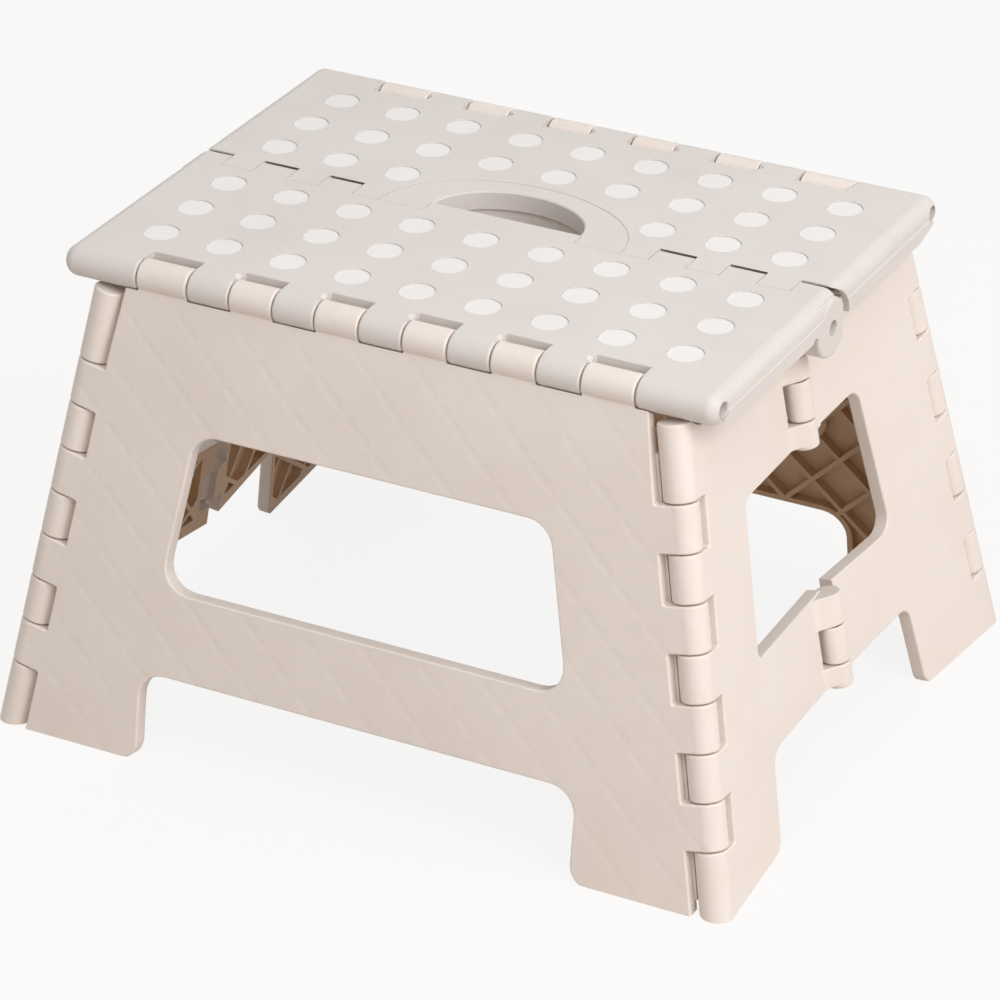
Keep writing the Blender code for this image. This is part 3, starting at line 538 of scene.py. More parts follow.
def combine(body, tools, operation):
    """Apply a Boolean of a body with tools that do not touch each other."""
    tool = grouped(tools)
    modifier = body.modifiers.new("Boolean", "BOOLEAN")
    modifier.operation = operation
    modifier.solver = "EXACT"
    modifier.object = tool
    graph = bpy.context.evaluated_depsgraph_get()
    result = bpy.data.meshes.new_from_object(body.evaluated_get(graph))
    body.modifiers.clear()
    used = body.data
    body.data = result
    bpy.data.meshes.remove(used)
    discard(tool)
    return body


def join(body, *tools):
    """Unite tools with a body."""
    return combine(body, tools, "UNION")


def cut(body, *tools):
    """Cut tools out of a body."""
    return combine(body, tools, "DIFFERENCE")


def mirrored(body, axis):
    """Mirror a body's mesh through the plane across an axis, keeping its faces outward."""
    body.data.transform(Matrix.Scale(-1.0, 4, axis))
    body.data.flip_normals()
    return body


def twin(body):
    """Return a copy of a body."""
    copy = bpy.data.objects.new(body.name, body.data.copy())
    bpy.context.scene.collection.objects.link(copy)
    return copy


def pair_x(body):
    """Return a body and its mirror image through the plane across X."""
    return [body, mirrored(twin(body), X_AXIS)]


def soften_panel(body, outer, inner):
    """Round a panel's outer and inner rims off, which lie at two heights of its own frame."""
    with opened(body) as maker:
        bmesh.ops.remove_doubles(maker, verts=maker.verts, dist=TOUCH)
        for level, width in ((outer, size("rim_round")), (inner, size("inner_round"))):
            soften(maker, [edge for edge in maker.edges if at_level(edge, level) and is_corner(edge)], width)


def stand(body, matrix):
    """Bring a panel from its own frame to the stool's frame and cut it off at the floor."""
    body.data.transform(matrix)
    with opened(body) as maker:
        slice_off(maker, Vector(), Z_AXIS)
        bmesh.ops.recalc_face_normals(maker, faces=maker.faces)
    return body


def drop_slivers(body):
    """Remove the closed parts of a body that are too small to mould."""
    with opened(body) as maker:
        left = set(maker.faces)
        slivers = []
        while left:
            part = [left.pop()]
            for face in part:
                near = {other for edge in face.edges for other in edge.link_faces} & left
                left -= near
                part += near
            if max(face.calc_area() for face in part) < POCKET_LEAST:
                slivers += part
        bmesh.ops.delete(maker, geom=slivers, context="FACES")
    return body


def lattice(region, low, high):
    """Leave the pockets between slanting ribs of a region."""
    pitch = size("rib_pitch")
    half_rib = size("rib_width") / 2
    reach = max(vert.co.xy.length for vert in region.data.vertices) + pitch
    count = ceil(reach / pitch)
    for slant in (pi / 4, -pi / 4):
        turned = Matrix.Translation((*RIB_ORIGIN, 0.0)) @ Matrix.Rotation(slant, 4, "Z")
        ribs = []
        for step in range(-count, count + 1):
            middle = step * pitch
            ribs.append(box(turned, (middle - half_rib, middle + half_rib), (-reach, reach),
                            (low - OVER, high + OVER)))
        cut(region, *ribs)
    return drop_slivers(region)


def mark_painted_shade(body, depth):
    """Mark the faces behind a panel's face, where the finish paints shade."""
    mesh = body.data
    marks = []
    for face in mesh.polygons:
        highest = max(mesh.vertices[index].co.z for index in face.vertices)
        marks.append(1.0 if highest < depth + TOUCH else 0.0)
    layer = mesh.attributes.new("inner", "FLOAT", "FACE")
    layer.data.foreach_set("value", marks)


def leg_height(height):
    """Return how far up the leg panel's outer face a height lies."""
    return (height - (LEG @ Vector((0.0, 0.0, LEG_THICKNESS))).z) / LEG_UP.z


def corner_in_leg(along, inward):
    """Return the leg panel's point at a distance along the corner axis and inward from it."""
    point = LEG.inverted() @ (CORNER_LEG @ Vector((-inward, along, 0.0)))
    return (point.x, point.y)


def leg_side(up):
    """Return how far out the leg panel's side lies beside the corner knuckles, at a distance up the panel."""
    foot_side = corner_in_leg(0.0, CORNER_SETBACK)
    return foot_side[0] - (up - foot_side[1]) * tan(LEAN)


def knuckle_range(index):
    """Return the ends of a corner knuckle, counted from below."""
    low = KNUCKLE_BASE + KNUCKLE_PITCH * index + GAP / 2
    return (low, low + KNUCKLE_PITCH - GAP)


def both_sides(pair):
    """Return a range at +X and its mirror image at -X."""
    return (pair, (-pair[1], -pair[0]))


def with_left(right):
    """Return an outline whose right side is given from one end to the other, closed by its mirror image."""
    return right + [(-corner[0], *corner[1:]) for corner in reversed(right)]


def leg_outline():
    """Return the leg panel's outline, with tabs for its corner knuckles and its top barrels."""
    below = leg_height(-OVER)
    cut_up = leg_height(LEG_CUT_TOP)
    root = size("rim_round")
    right = [(LEG_CUT_HALF, cut_up, LEG_CUT_ROUND), (LEG_CUT_HALF, below, FOOT_ROUND)]
    right.append((leg_side(below), below))
    for index in range(0, KNUCKLE_COUNT, 2):
        low, high = knuckle_range(index)
        for along, inward, radius in ((low + SINK, CORNER_SETBACK, root), (low + SINK, 0.0, 0.0),
                                      (high - SINK, 0.0, 0.0), (high - SINK, CORNER_SETBACK, root)):
            right.append((*corner_in_leg(along, inward), radius))
    right.append((leg_side(LEG_LIP), LEG_LIP))
    for low, high in reversed(EDGE_BARRELS):
        right += [(high - SINK, LEG_LIP), (high - SINK, 0.0), (low + SINK, 0.0), (low + SINK, LEG_LIP)]
    return with_left(right)


def leg_window(grow=0.0):
    """Return the outline of the leg panel's window, grown by a rim."""
    low = leg_height(LEG_WINDOW[0])
    top = leg_height(LEG_WINDOW[1])
    low_half = LEG_WINDOW_HALF + (top - low) * tan(LEAN)
    radius = LEG_WINDOW_ROUND + grow
    return with_left([(low_half + grow, low - grow, radius), (LEG_WINDOW_HALF + grow, top + grow, radius)])


def leg_pockets():
    """Make the lattice pockets behind the leg panel's face."""
    low = -OVER
    high = LEG_THICKNESS - FACE_WALL
    floor_up = leg_height(2 * RIM_WALL)
    cut_up = leg_height(LEG_CUT_TOP) + RIM_WALL
    top = LEG_TOP - RIM_WALL
    cut_half = LEG_CUT_HALF + RIM_WALL
    region = prism(with_left([
        (cut_half, cut_up, LEG_CUT_ROUND + RIM_WALL), (cut_half, floor_up),
        (leg_side(floor_up) - RIM_WALL, floor_up), (leg_side(top) - RIM_WALL, top)]), WORLD, low, high)
    cut(region, prism(leg_window(RIM_WALL), WORLD, low - OVER, high + OVER))
    return lattice(region, low, high)


def dip_share(up):
    """Return the share of its full dip that the leg panel's face has at a distance up the panel."""
    return (up - LEG_DIP_START) / (LEG_TOP - LEG_DIP_START)


def dip_top(body):
    """Lean the top of the leg panel's face back, so that the barrels stand over it."""
    with opened(body) as maker:
        slice_off(maker, Vector((0.0, LEG_DIP_START, 0.0)), Y_AXIS, clear=False)
        for vert in maker.verts:
            rise = dip_share(vert.co.y)
            depth = (vert.co.z - LEG_THICKNESS) / LEG_DIP_DEPTH + 1.0
            if rise > 0.0 and depth > 0.0:
                vert.co.z -= LEG_DIP * rise * depth


def barrel_fillet(low, high):
    """Make the fillet between the leg panel's face and a top barrel."""

    def face(up):
        return LEG_THICKNESS - 2 * SINK - LEG_DIP * dip_share(up)

    inner = LEG_THICKNESS / 2
    touch = -(EDGE_RADIUS ** 2 - face(LEG_LIP) ** 2) ** 0.5
    over = touch / 2
    profile = [(LEG_TOP, face(LEG_TOP)), (LEG_TOP, inner), (over, inner),
               (over, (EDGE_RADIUS ** 2 - over ** 2) ** 0.5 - SINK), (touch, face(touch), LEG_FILLET)]
    return prism(profile, SIDE_ON, low + 3 * SINK, high - 3 * SINK)


def knuckle_lips(matrix, ranges, low, high):
    """Make the lips that close the slots beside the other panel's knuckles, at two heights of a frame."""
    across = (CORNER_RADIUS + KNUCKLE_LIP, CORNER_SETBACK + OVER)
    return [box(matrix, across, (start - 2 * GAP, stop + 2 * GAP), (low, high)) for start, stop in ranges]


def leg_panel():
    """Make the front leg panel."""
    edge_line = LEG.inverted() @ EDGE_LINE
    corner_line = LEG.inverted() @ CORNER_LINE
    panel = prism(leg_outline(), WORLD, 0.0, LEG_THICKNESS - SINK)
    cut(panel, prism(leg_window(), WORLD, -OVER, LEG_THICKNESS + OVER))
    soften_panel(panel, LEG_THICKNESS - SINK, 0.0)
    cut(panel, leg_pockets())
    mark_painted_shade(panel, LEG_THICKNESS - FACE_WALL)
    dip_top(panel)
    grooves = []
    fillets = []
    barrels = []
    for low, high in edge_spaces():
        start = low - GAP - 2 * SINK
        stop = high + GAP + 2 * SINK
        groove = drum(edge_line, EDGE_RADIUS + GAP, start, stop)
        grooves += [groove] if low < 0.0 else pair_x(groove)
    for pair in EDGE_BARRELS:
        for low, high in both_sides(pair):
            fillets.append(barrel_fillet(low, high))
            barrels.append(barrel(edge_line, EDGE_RADIUS, low, high))
    for index in range(0, KNUCKLE_COUNT, 2):
        barrels += pair_x(barrel(corner_line, CORNER_RADIUS, *knuckle_range(index)))
    inward = frame_at(CORNER_POINT, -CORNER_LEG.col[0].xyz, CORNER_UP, LEG_OUT)
    slots = [knuckle_range(index) for index in range(1, KNUCKLE_COUNT, 2)]
    slots += [(CORNER_RADIUS, KNUCKLE_BASE - GAP / 2), (end_ranges()[0][0], KNUCKLE_TOP - 2 * CORNER_RADIUS)]
    lips = []
    for lip in knuckle_lips(LEG.inverted() @ inward, slots, KNUCKLE_LIP, KNUCKLE_LIP + KNUCKLE_LIP_DEPTH):
        lips += pair_x(lip)
    cut(panel, *grooves)
    join(panel, *fillets)
    join(panel, *lips)
    join(panel, *barrels)
    bores = pair_x(bore(corner_line, CORNER_BORE, CORNER_BORE_START, KNUCKLE_TOP))
    bores.append(bore(edge_line, EDGE_BORE, -TREAD_HALF, TREAD_HALF))
    cut(panel, *bores)
    return stand(panel, LEG)


def hinge_along(height):
    """Return the distance along the end hinge axis at a height over the floor."""
    return (height - HINGE_LOW.z) / HINGE_UP.z


def end_point(across, height):
    """Return the point of the end half's outer face at a distance across and a height."""
    start = END @ Vector((across, 0.0, END_OUTER))
    return (across, (height - start.z) / CORNER_UP.z)


def end_edge(height, setback):
    """Return the point of the end half's face at a setback from the middle hinge axis, at a height."""
    up = end_point(hinge_across(height) - setback, height)[1]
    return end_point(hinge_across(up) - setback, height)


def end_ranges():
    """Return the ranges of an end half's knuckles along the corner, from the top down."""
    ranges = [(KNUCKLE_BASE + KNUCKLE_PITCH * KNUCKLE_COUNT + GAP / 2, KNUCKLE_TOP)]
    ranges += [knuckle_range(index) for index in range(KNUCKLE_COUNT - 2, 0, -2)]
    ranges.append((-CORNER_RADIUS, KNUCKLE_BASE - GAP / 2))
    return ranges


def end_outline(kind):
    """Return an end half's outline, with tabs for its corner knuckles."""
    root = size("rim_round")
    side = CORNER_SETBACK
    window = END_WINDOW_SIDE[kind]
    bend = END_WINDOW_ROUND[kind]
    foot = END_FOOT_SIDE[kind]
    upper, lower = HINGE_GROUPS
    outline = [
        (*end_point(foot, -OVER), END_FOOT_ROUND), (*end_point(foot, END_CUT_TOP), END_ARCH_ROUND),
        end_edge(lower[0], HINGE_MEET), end_edge(lower[3], HINGE_MEET),
        (*end_point(window, END_WINDOW_LOW[kind]), bend), (*end_point(window, END_WINDOW_TOP), bend),
        end_edge(upper[0], HINGE_MEET), end_edge(upper[3], HINGE_MEET), end_point(side, END_TOP["corner"])]
    for low, high in end_ranges():
        tab = [(side, high - SINK, root), (0.0, high - SINK), (0.0, low + SINK), (side, low + SINK, root)]
        if high == KNUCKLE_TOP:
            tab = tab[1:]
        elif low < 0.0:
            tab = tab[:3]
        outline += tab
    return outline


def end_pockets(kind):
    """Make the lattice pockets behind an end half's face."""
    side = CORNER_SETBACK + RIM_WALL
    window = END_WINDOW_SIDE[kind] - RIM_WALL
    bend = END_WINDOW_ROUND[kind] + RIM_WALL
    foot = END_FOOT_SIDE[kind] - RIM_WALL
    cut_top = END_CUT_TOP + RIM_WALL
    window_low = END_WINDOW_LOW[kind] - RIM_WALL
    window_top = END_WINDOW_TOP + RIM_WALL
    sill = HINGE_GROUPS[1][3] - RIM_WALL
    inset = HINGE_SETBACK + RIM_WALL
    low = END_INNER - OVER
    high = END_OUTER - FACE_WALL
    region = prism([
        end_point(side, 2 * RIM_WALL), end_point(foot, 2 * RIM_WALL),
        (*end_point(foot, cut_top), END_ARCH_ROUND), end_edge(cut_top, inset), end_edge(sill, inset),
        (*end_point(window, window_low), bend), (*end_point(window, window_top), bend),
        end_edge(window_top, inset), end_edge(END_TOP["middle"] - RIM_WALL, inset),
        end_point(side, END_TOP["corner"] - 2 * RIM_WALL)], WORLD, low, high)
    return lattice(region, low, high)


def hinge_profile():
    """Return the blend from the end half's face up to a hinge knuckle, in the hinge's cross section."""
    face = -HINGE_OUTSET - 2 * SINK
    under = BLEND - HINGE_RADIUS
    touch = Vector((cos(HINGE_BLEND_ANGLE), sin(HINGE_BLEND_ANGLE))) * HINGE_RADIUS
    slope = Vector((sin(HINGE_BLEND_ANGLE), -cos(HINGE_BLEND_ANGLE)))
    foot = touch - slope * ((touch.y - face) / slope.y)
    return [(-HINGE_BLEND_START, under), (0.0, under), (0.0, 0.0), (touch.x, touch.y),
            (foot.x, face, HINGE_BLEND_ROUND), (-HINGE_BLEND_START, face)]


def hinge_spans(kind):
    """Return the ranges of an end half's hinge knuckles along the hinge axis."""
    spans = []
    gap = GAP / 2
    for low, first, second, high in HINGE_GROUPS:
        if kind == "front":
            pairs = ((low, first - gap), (second + gap, high))
        else:
            pairs = ((first + gap, second - gap),)
        spans += [(hinge_along(start), hinge_along(stop)) for start, stop in pairs]
    return spans


def end_half(kind):
    """Make an end half at the right front corner, with the front or the rear half's shape."""
    corner_line = END.inverted() @ CORNER_LINE
    hinge_line = END.inverted() @ HINGE_LINE
    hinge_side = END.inverted() @ HINGE_SIDE
    panel = prism(end_outline(kind), WORLD, END_INNER, END_OUTER - SINK)
    soften_panel(panel, END_OUTER - SINK, END_INNER)
    cut(panel, end_pockets(kind))
    mark_painted_shade(panel, END_OUTER - FACE_WALL)
    necks = []
    barrels = []
    rooms = []
    other = "rear" if kind == "front" else "front"
    ends = [hinge_along(height) for group in HINGE_GROUPS for height in (group[0], group[3])]
    for low, high in hinge_spans(other):
        start = low - (HINGE_CLEAR if low in ends else GAP)
        stop = high + (HINGE_CLEAR if high in ends else GAP)
        rooms.append(box(
            hinge_side, (-HINGE_SETBACK, HINGE_SETBACK), (-HINGE_W, HINGE_RADIUS), (start, stop)))
    slots = [knuckle_range(index) for index in range(0, KNUCKLE_COUNT, 2)]
    lips = knuckle_lips(WORLD, slots, END_INNER + KNUCKLE_LIP, END_INNER + KNUCKLE_LIP + KNUCKLE_LIP_DEPTH)
    for low, high in hinge_spans(kind):
        start = low + (HINGE_LIFT if low in ends else SINK)
        neck = thicken(flat(hinge_profile()), start, high - SINK)
        tips = [edge for edge in neck.edges if at_level(edge, start) or at_level(edge, high - SINK)]
        necks.append(place(soften(neck, tips, size("barrel_round") / 2), hinge_side))
        barrels.append(barrel(hinge_line, HINGE_RADIUS, low, high))
    barrels += [barrel(corner_line, CORNER_RADIUS, low, high) for low, high in end_ranges()]
    cut(panel, *rooms)
    join(panel, *lips)
    join(panel, *necks)
    join(panel, *barrels)
    bores = [bore(corner_line, CORNER_BORE, CORNER_BORE_START, KNUCKLE_TOP - KNUCKLE_CAP)]
    for low, _, _, high in HINGE_GROUPS:
        bores.append(bore(
            hinge_line, HINGE_BORE[kind], hinge_along(low) + HINGE_CAP, hinge_along(high) - HINGE_CAP))
    cut(panel, *bores)
    return stand(panel, END)


def seam_fingers(kind):
    """Return the ranges of a tread half's fingers along the seam, at +X."""
    gap = SEAM_GAP / 2
    pitch = FRONT_FINGER + REAR_FINGER
    fronts = [(SEAM_START + pitch * k, SEAM_START + pitch * k + FRONT_FINGER) for k in range(FRONT_FINGERS)]
    fronts[-1] = (fronts[-1][0], TREAD_HALF + gap)
    if kind == "front":
        return [(low + gap, high - gap) for low, high in fronts]
    rears = [(SEAM_START - REAR_FIRST_LOBE, SEAM_START - gap)]
    for (_, low), (high, _) in zip(fronts, fronts[1:]):
        rears.append((low + gap, high - gap))
    return rears


def seam_edge(kind):
    """Return the tread half's seam line at +X, as corners from the end toward the middle."""
    gap = SEAM_GAP / 2
    if kind == "front":
        reach, recess, tongue = FRONT_REACH, -REAR_REACH - gap, TONGUE_REACH
        bands = seam_fingers(kind)
        middle = [(TONGUE_HALF - gap, recess), (TONGUE_HALF - gap, tongue)]
    else:
        reach, recess, tongue = REAR_REACH, -FRONT_REACH - SEAM_END_GAP, -TONGUE_REACH - gap
        bands = [(TONGUE_HALF + gap, SEAM_START - gap)] + seam_fingers(kind)[1:]
        middle = []
    points = []
    for low, high in sorted(bands, reverse=True):
        points += [(high, recess), (high, reach)] if high < PLATE_HALF else [(PLATE_HALF, reach)]
        points += [(low, reach), (low, recess)]
    if kind == "rear":
        points.insert(0, (PLATE_HALF, recess))
        points[-1] = (points[-1][0], tongue)
    return points + middle


def edge_spaces():
    """Return the tread's barrel ranges between the leg's barrels, with the first across the middle."""
    spaces = [(GAP - EDGE_BARRELS[0][0], EDGE_BARRELS[0][0] - GAP)]
    for (_, low), (high, _) in zip(EDGE_BARRELS, EDGE_BARRELS[1:]):
        spaces.append((low + GAP, high - GAP))
    spaces.append((EDGE_BARRELS[-1][1] + GAP, TREAD_HALF - SKIRT_STEP))
    return spaces


def deck_plate(kind):
    """Make the tread half's plate, with tabs for its barrels and fingers along the seam."""
    rim = size("inner_round")
    front = EDGE_POINT.y
    notch = front + EDGE_NOTCH
    spaces = edge_spaces()
    outline = [(spaces[0][1], front)]
    for (_, low), (high, end) in zip(spaces, spaces[1:]):
        outline += [(low, notch, rim), (high, notch, rim), (high, front), (min(end, PLATE_HALF), front)]
    outline += seam_edge(kind)
    maker = thicken(flat(with_left(outline)), PLATE_UNDER, DECK)

    def shown(edge):
        ends = [vert.co for vert in edge.verts]
        at_end = all(abs(co.x) > PLATE_HALF - TOUCH for co in ends)
        at_front = all(co.y < front + TOUCH for co in ends)
        at_seam = all(co.y > -REAR_REACH - SEAM_GAP for co in ends)
        return at_level(edge, DECK) and not (at_end or at_front or at_seam)

    soften(maker, [edge for edge in maker.edges if shown(edge)], rim)
    return place(maker, WORLD)


def skirt(kind):
    """Make the tread half's skirt at its right end, with a rounded top and a fine step along its side."""
    back = PLATE_HALF - OVER
    face = TREAD_HALF - SKIRT_STEP
    inner = TREAD_HALF - SKIRT_WALL
    profile = [
        (TREAD_HALF, SKIRT_LOW, SKIRT_FOOT_ROUND), (TREAD_HALF, SKIRT_STEP_Z, SKIRT_STEP_ROUND),
        (face, SKIRT_STEP_Z + SKIRT_STEP), (face, DECK, SKIRT_ROUND), (back, DECK), (back, PLATE_UNDER),
        (inner, PLATE_UNDER, SKIRT_WALL / 2), (inner, SKIRT_LOW)]
    stop = FRONT_REACH if kind == "front" else -FRONT_REACH - SEAM_END_GAP
    maker = thicken(flat(profile), EDGE_POINT.y, stop - BLEND)
    slope = Vector((0.0, EDGE_RADIUS - SKIRT_WALL, SKIRT_RISE)).normalized()
    low_front = Vector((0.0, SKIRT_LOW, EDGE_POINT.y + SKIRT_RISE))
    slice_off(maker, low_front, Vector((0.0, slope.z, slope.y)))
    return place(maker, END_ON)


def dot_places(row, kind):
    """Return the groups of dots along a row; the rear half's first row leaves the hand slot free."""
    places = range(-DOT_HALF_COUNT, DOT_HALF_COUNT + 1)
    if kind == "rear" and row == 0:
        return [[k for k in places if k < -DOT_SLOT_GAP], [k for k in places if k > DOT_SLOT_GAP]]
    return [list(places)]


def dot_line(index, row):
    """Return the upright line through a dot."""
    return Matrix.Translation((index * DOT_PITCH, -DOT_ROWS[row], 0.0))


def tread_ribs(plate):
    """Add the ribs under a tread half."""
    reach = TREAD_HALF - SKIRT_WALL + GAP
    deep = (RIB_UNDER, PLATE_UNDER + OVER)
    back = EDGE_POINT.y + EDGE_NOTCH + BLEND
    seam_rib = -SEAM_RADIUS - GAP
    strip_low = PLATE_UNDER - STRIP_THICKNESS - 4 * STRIP_GAP
    ribs = [box(WORLD, (-reach, reach), (back, back + RIB), deep)]
    for first, second in zip(DOT_ROWS, DOT_ROWS[1:]):
        middle = -(first + second) / 2
        ribs.append(box(WORLD, (-reach, reach), (middle - RIB / 2, middle + RIB / 2), deep))
    ribs.append(box(WORLD, (-reach, reach), (seam_rib - RIB, seam_rib), (RIB_UNDER, strip_low)))
    join(plate, *ribs)
    crosses = []
    for middle in CROSS_RIBS:
        crosses += pair_x(box(
            WORLD, (middle - RIB / 2, middle + RIB / 2), (back + RIB / 2, seam_rib - RIB / 2),
            (RIB_UNDER + BLEND, strip_low)))
    join(plate, *crosses)


def tread_barrels(plate):
    """Add the barrels along a tread half's outer edge."""
    rounding = size("barrel_round")
    front = EDGE_POINT.y
    blocks = []
    barrels = []
    for low, high in edge_spaces():
        end_round = SKIRT_ROUND if high > PLATE_HALF else rounding
        block = box(WORLD, (low + SINK, min(high - SINK, PLATE_HALF)), (front, front + EDGE_NOTCH + RIB),
                    (EDGE_POINT.z - EDGE_RADIUS / 2, DECK - SINK))
        roll = drum(EDGE_LINE, EDGE_RADIUS, low, high, rounding, end_round)
        blocks += [block] if low < 0.0 else pair_x(block)
        barrels += [roll] if low < 0.0 else pair_x(roll)
    join(plate, *blocks)
    join(plate, *barrels)


def hand_slot(plate):
    """Cut the hand slot with its deep wall, its ledge and the fine line round it."""
    rim = size("inner_round")

    def slot(grow, low, high, flare=0.0):
        return oval(SLOT_HALF + grow, SLOT_DEPTH + grow, -TONGUE_REACH, low, high, flare)

    wall = slot(SLOT_WALL, RIB_UNDER - BLEND, PLATE_UNDER + OVER)
    cut(wall, box(WORLD, (-TREAD_HALF, TREAD_HALF), (-TONGUE_REACH - GAP, TREAD_HALF), (0.0, 2 * TREAD_TOP)))
    join(plate, wall)
    cut(plate, slot(0.0, SLOT_LEDGE_Z, DECK + OVER))
    cut(plate, slot(SLOT_LEDGE, 0.0, SLOT_LEDGE_Z + BLEND))
    cut(plate, slot(0.0, DECK - rim, DECK + rim, 2 * rim))
    cut(plate, ring(*PAD_HALF, PAD_MIDDLE, PAD_LINE, DECK - PAD_LINE_DEPTH, DECK + OVER))


def seam_undercut(low, high):
    """Make the wedge that undercuts the rear half's edge before a front finger's tip."""
    edge = -FRONT_REACH - SEAM_END_GAP
    top = DECK - SINK
    under = PLATE_UNDER - BLEND
    wedge = [(edge + OVER, top), (edge, top), (edge - SEAM_UNDERCUT, under), (edge + OVER, under)]
    return prism(wedge, SIDE_ON, low + SINK, high - SINK)


def end_lobe(low):
    """Make the lobe at the right end of the seam, which is flat on its far side."""
    rounding = size("barrel_round")
    start = acos(END_LOBE_FLAT / END_LOBE_RADIUS)
    outline = []
    for step in range(ROUND_SIDES + 1):
        angle = start + 2 * (pi - start) * step / ROUND_SIDES
        corner = 2 * rounding if step in (0, ROUND_SIDES) else 0.0
        outline.append((END_LOBE_RADIUS * cos(angle), END_LOBE_RADIUS * sin(angle), corner))
    maker = thicken(flat(outline), low, TREAD_HALF)
    for level, width in ((low, rounding), (TREAD_HALF, END_LOBE_RIM * rounding)):
        soften(maker, [edge for edge in maker.edges if at_level(edge, level)], width)
    return place(maker, frame_at(SEAM_POINT, Y_AXIS, Z_AXIS, X_AXIS))


def scoop(x_place):
    """Make the small scoop at a barrel's end."""
    maker = bmesh.new()
    bmesh.ops.create_uvsphere(maker, u_segments=BORE_SIDES, v_segments=BORE_SIDES // 2, radius=SCOOP_RADIUS)
    return place(maker, Matrix.Translation((x_place, EDGE_POINT.y + SCOOP_BACK, TREAD_TOP + SCOOP_RISE)))


def tread_half(kind):
    """Make a tread half at the front, with the front or the rear half's seam."""
    plate = deck_plate(kind)
    join(plate, *pair_x(skirt(kind)))
    tread_ribs(plate)
    tread_barrels(plate)
    lobes = []
    stems = []
    finger_reach = (FRONT_REACH if kind == "front" else REAR_REACH) - BLEND
    for low, high in seam_fingers(kind):
        if high > TREAD_HALF - BLEND:
            lobes += pair_x(end_lobe(low))
        else:
            lobes += pair_x(barrel(SEAM_LINE, SEAM_RADIUS, low, high))
        stem_high = min(high - BLEND, TREAD_HALF - SKIRT_WALL / 2)
        stems += pair_x(box(
            WORLD, (low + BLEND, stem_high), (-SEAM_RADIUS - GAP - RIB / 2, finger_reach),
            (SEAM_POINT.z, PLATE_UNDER + OVER)))
    join(plate, *stems)
    reach = TREAD_HALF + OVER
    if kind == "rear":
        hand_slot(plate)
        fingers = seam_fingers("front")
        rooms = pair_x(drum(SEAM_LINE, END_LOBE_ROOM, fingers[-1][0] - SEAM_GAP, reach))
        for low, high in fingers[:-1]:
            rooms += pair_x(seam_undercut(low - SEAM_GAP, high + SEAM_GAP))
        cut(plate, *rooms)
    else:
        arch = line_along(Vector((0.0, SKIRT_ARCH[0], SKIRT_LOW - OVER)), X_AXIS, Z_AXIS)
        cut(plate, *pair_x(bore(arch, SKIRT_ARCH[1], TREAD_HALF - 2 * SKIRT_WALL, reach)))
    join(plate, *lobes)
    holes = []
    radius = size("dot_radius") + DOT_HOLE_GAP
    strip_low = PLATE_UNDER - STRIP_THICKNESS - STRIP_GAP
    for row in range(len(DOT_ROWS)):
        for group in dot_places(row, kind):
            holes += [drum(dot_line(index, row), radius, strip_low, TREAD_TOP + OVER, sides=DOT_SIDES)
                      for index in group]
    cut(plate, *holes)
    cut(plate, bore(EDGE_LINE, EDGE_BORE, -reach, reach), bore(SEAM_LINE, SEAM_BORE, -reach, reach))
    mouth = line_along(Vector((TREAD_HALF, EDGE_POINT.y, EDGE_POINT.z)), EDGE_MOUTH, Z_AXIS)
    finish = pair_x(bore(mouth, EDGE_BORE, -EDGE_MOUTH_DEPTH, 2 * EDGE_RADIUS))
    turn = 1.0 if kind == "front" else -1.0
    for low, high in edge_spaces()[:-1]:
        places = [high] if low < 0.0 else [high, -low]
        finish += [scoop(turn * x_place) for x_place in places]
    cut(plate, *finish)
    return plate


def grip_strip(row, group):
    """Make a strip of grip dots at the front half's place."""
    high = PLATE_UNDER - STRIP_GAP
    low = high - STRIP_THICKNESS
    half = STRIP_WIDTH / 2
    start = group[0] * DOT_PITCH - half
    stop = group[-1] * DOT_PITCH + half
    near = -DOT_ROWS[row] - half
    far = -DOT_ROWS[row] + half
    corners = [(start, near), (stop, near), (stop, far), (start, far)]
    strip = prism([(*corner, half / 2) for corner in corners], WORLD, low, high)
    top = DECK - size("dot_recess")
    rim = size("inner_round") * DOT_RIM_SHARE
    dots = [drum(dot_line(index, row), size("dot_radius"), (low + high) / 2, top, 0.0, rim, DOT_SIDES)
            for index in group]
    return join(strip, *dots)


def finish_piece(body, name, material, rides, replaced):
    """Clean a modelled body, bring it to metres and tie it to the model."""
    with opened(body) as maker:
        bmesh.ops.remove_doubles(maker, verts=maker.verts, dist=WELD)
        bmesh.ops.dissolve_degenerate(maker, edges=maker.edges, dist=WELD)
        bmesh.ops.scale(maker, verts=maker.verts, vec=(MM, MM, MM))
        open_edges = sum(1 for edge in maker.edges if not edge.is_manifold)
    if open_edges:
        raise RuntimeError(f"{name} has {open_edges} open edges")
    body.name = name
    body.data.name = name
    body.data.materials.clear()
    body.data.materials.append(material)
    body.data.shade_smooth()
    body.data.set_sharp_from_angle(angle=SMOOTH_ANGLE)
    shading = body.modifiers.new("Weighted Normal", "WEIGHTED_NORMAL")
    shading.keep_sharp = True
    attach(body, rides)
    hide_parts(replaced)


def feed(tree, socket, value):
    """Link an output to an input, or set the input's own value."""
    if isinstance(value, bpy.types.NodeSocket):
        tree.links.new(value, socket)
    else:
        socket.default_value = value


def add_node(tree, kind, inputs=None, group=None):
    """Add a node to a tree, with its inputs linked or set."""
    node = tree.nodes.new(kind)
    if group:
        node.node_tree = group
    for key, value in (inputs or {}).items():
        feed(tree, node.inputs[key], value)
    return node


def reckon(tree, operation, *values):
    """Add a Math node and return its result."""
    node = tree.nodes.new("ShaderNodeMath")
    node.operation = operation
    for socket, value in zip(node.inputs, values):
        feed(tree, socket, value)
    return node.outputs[0]


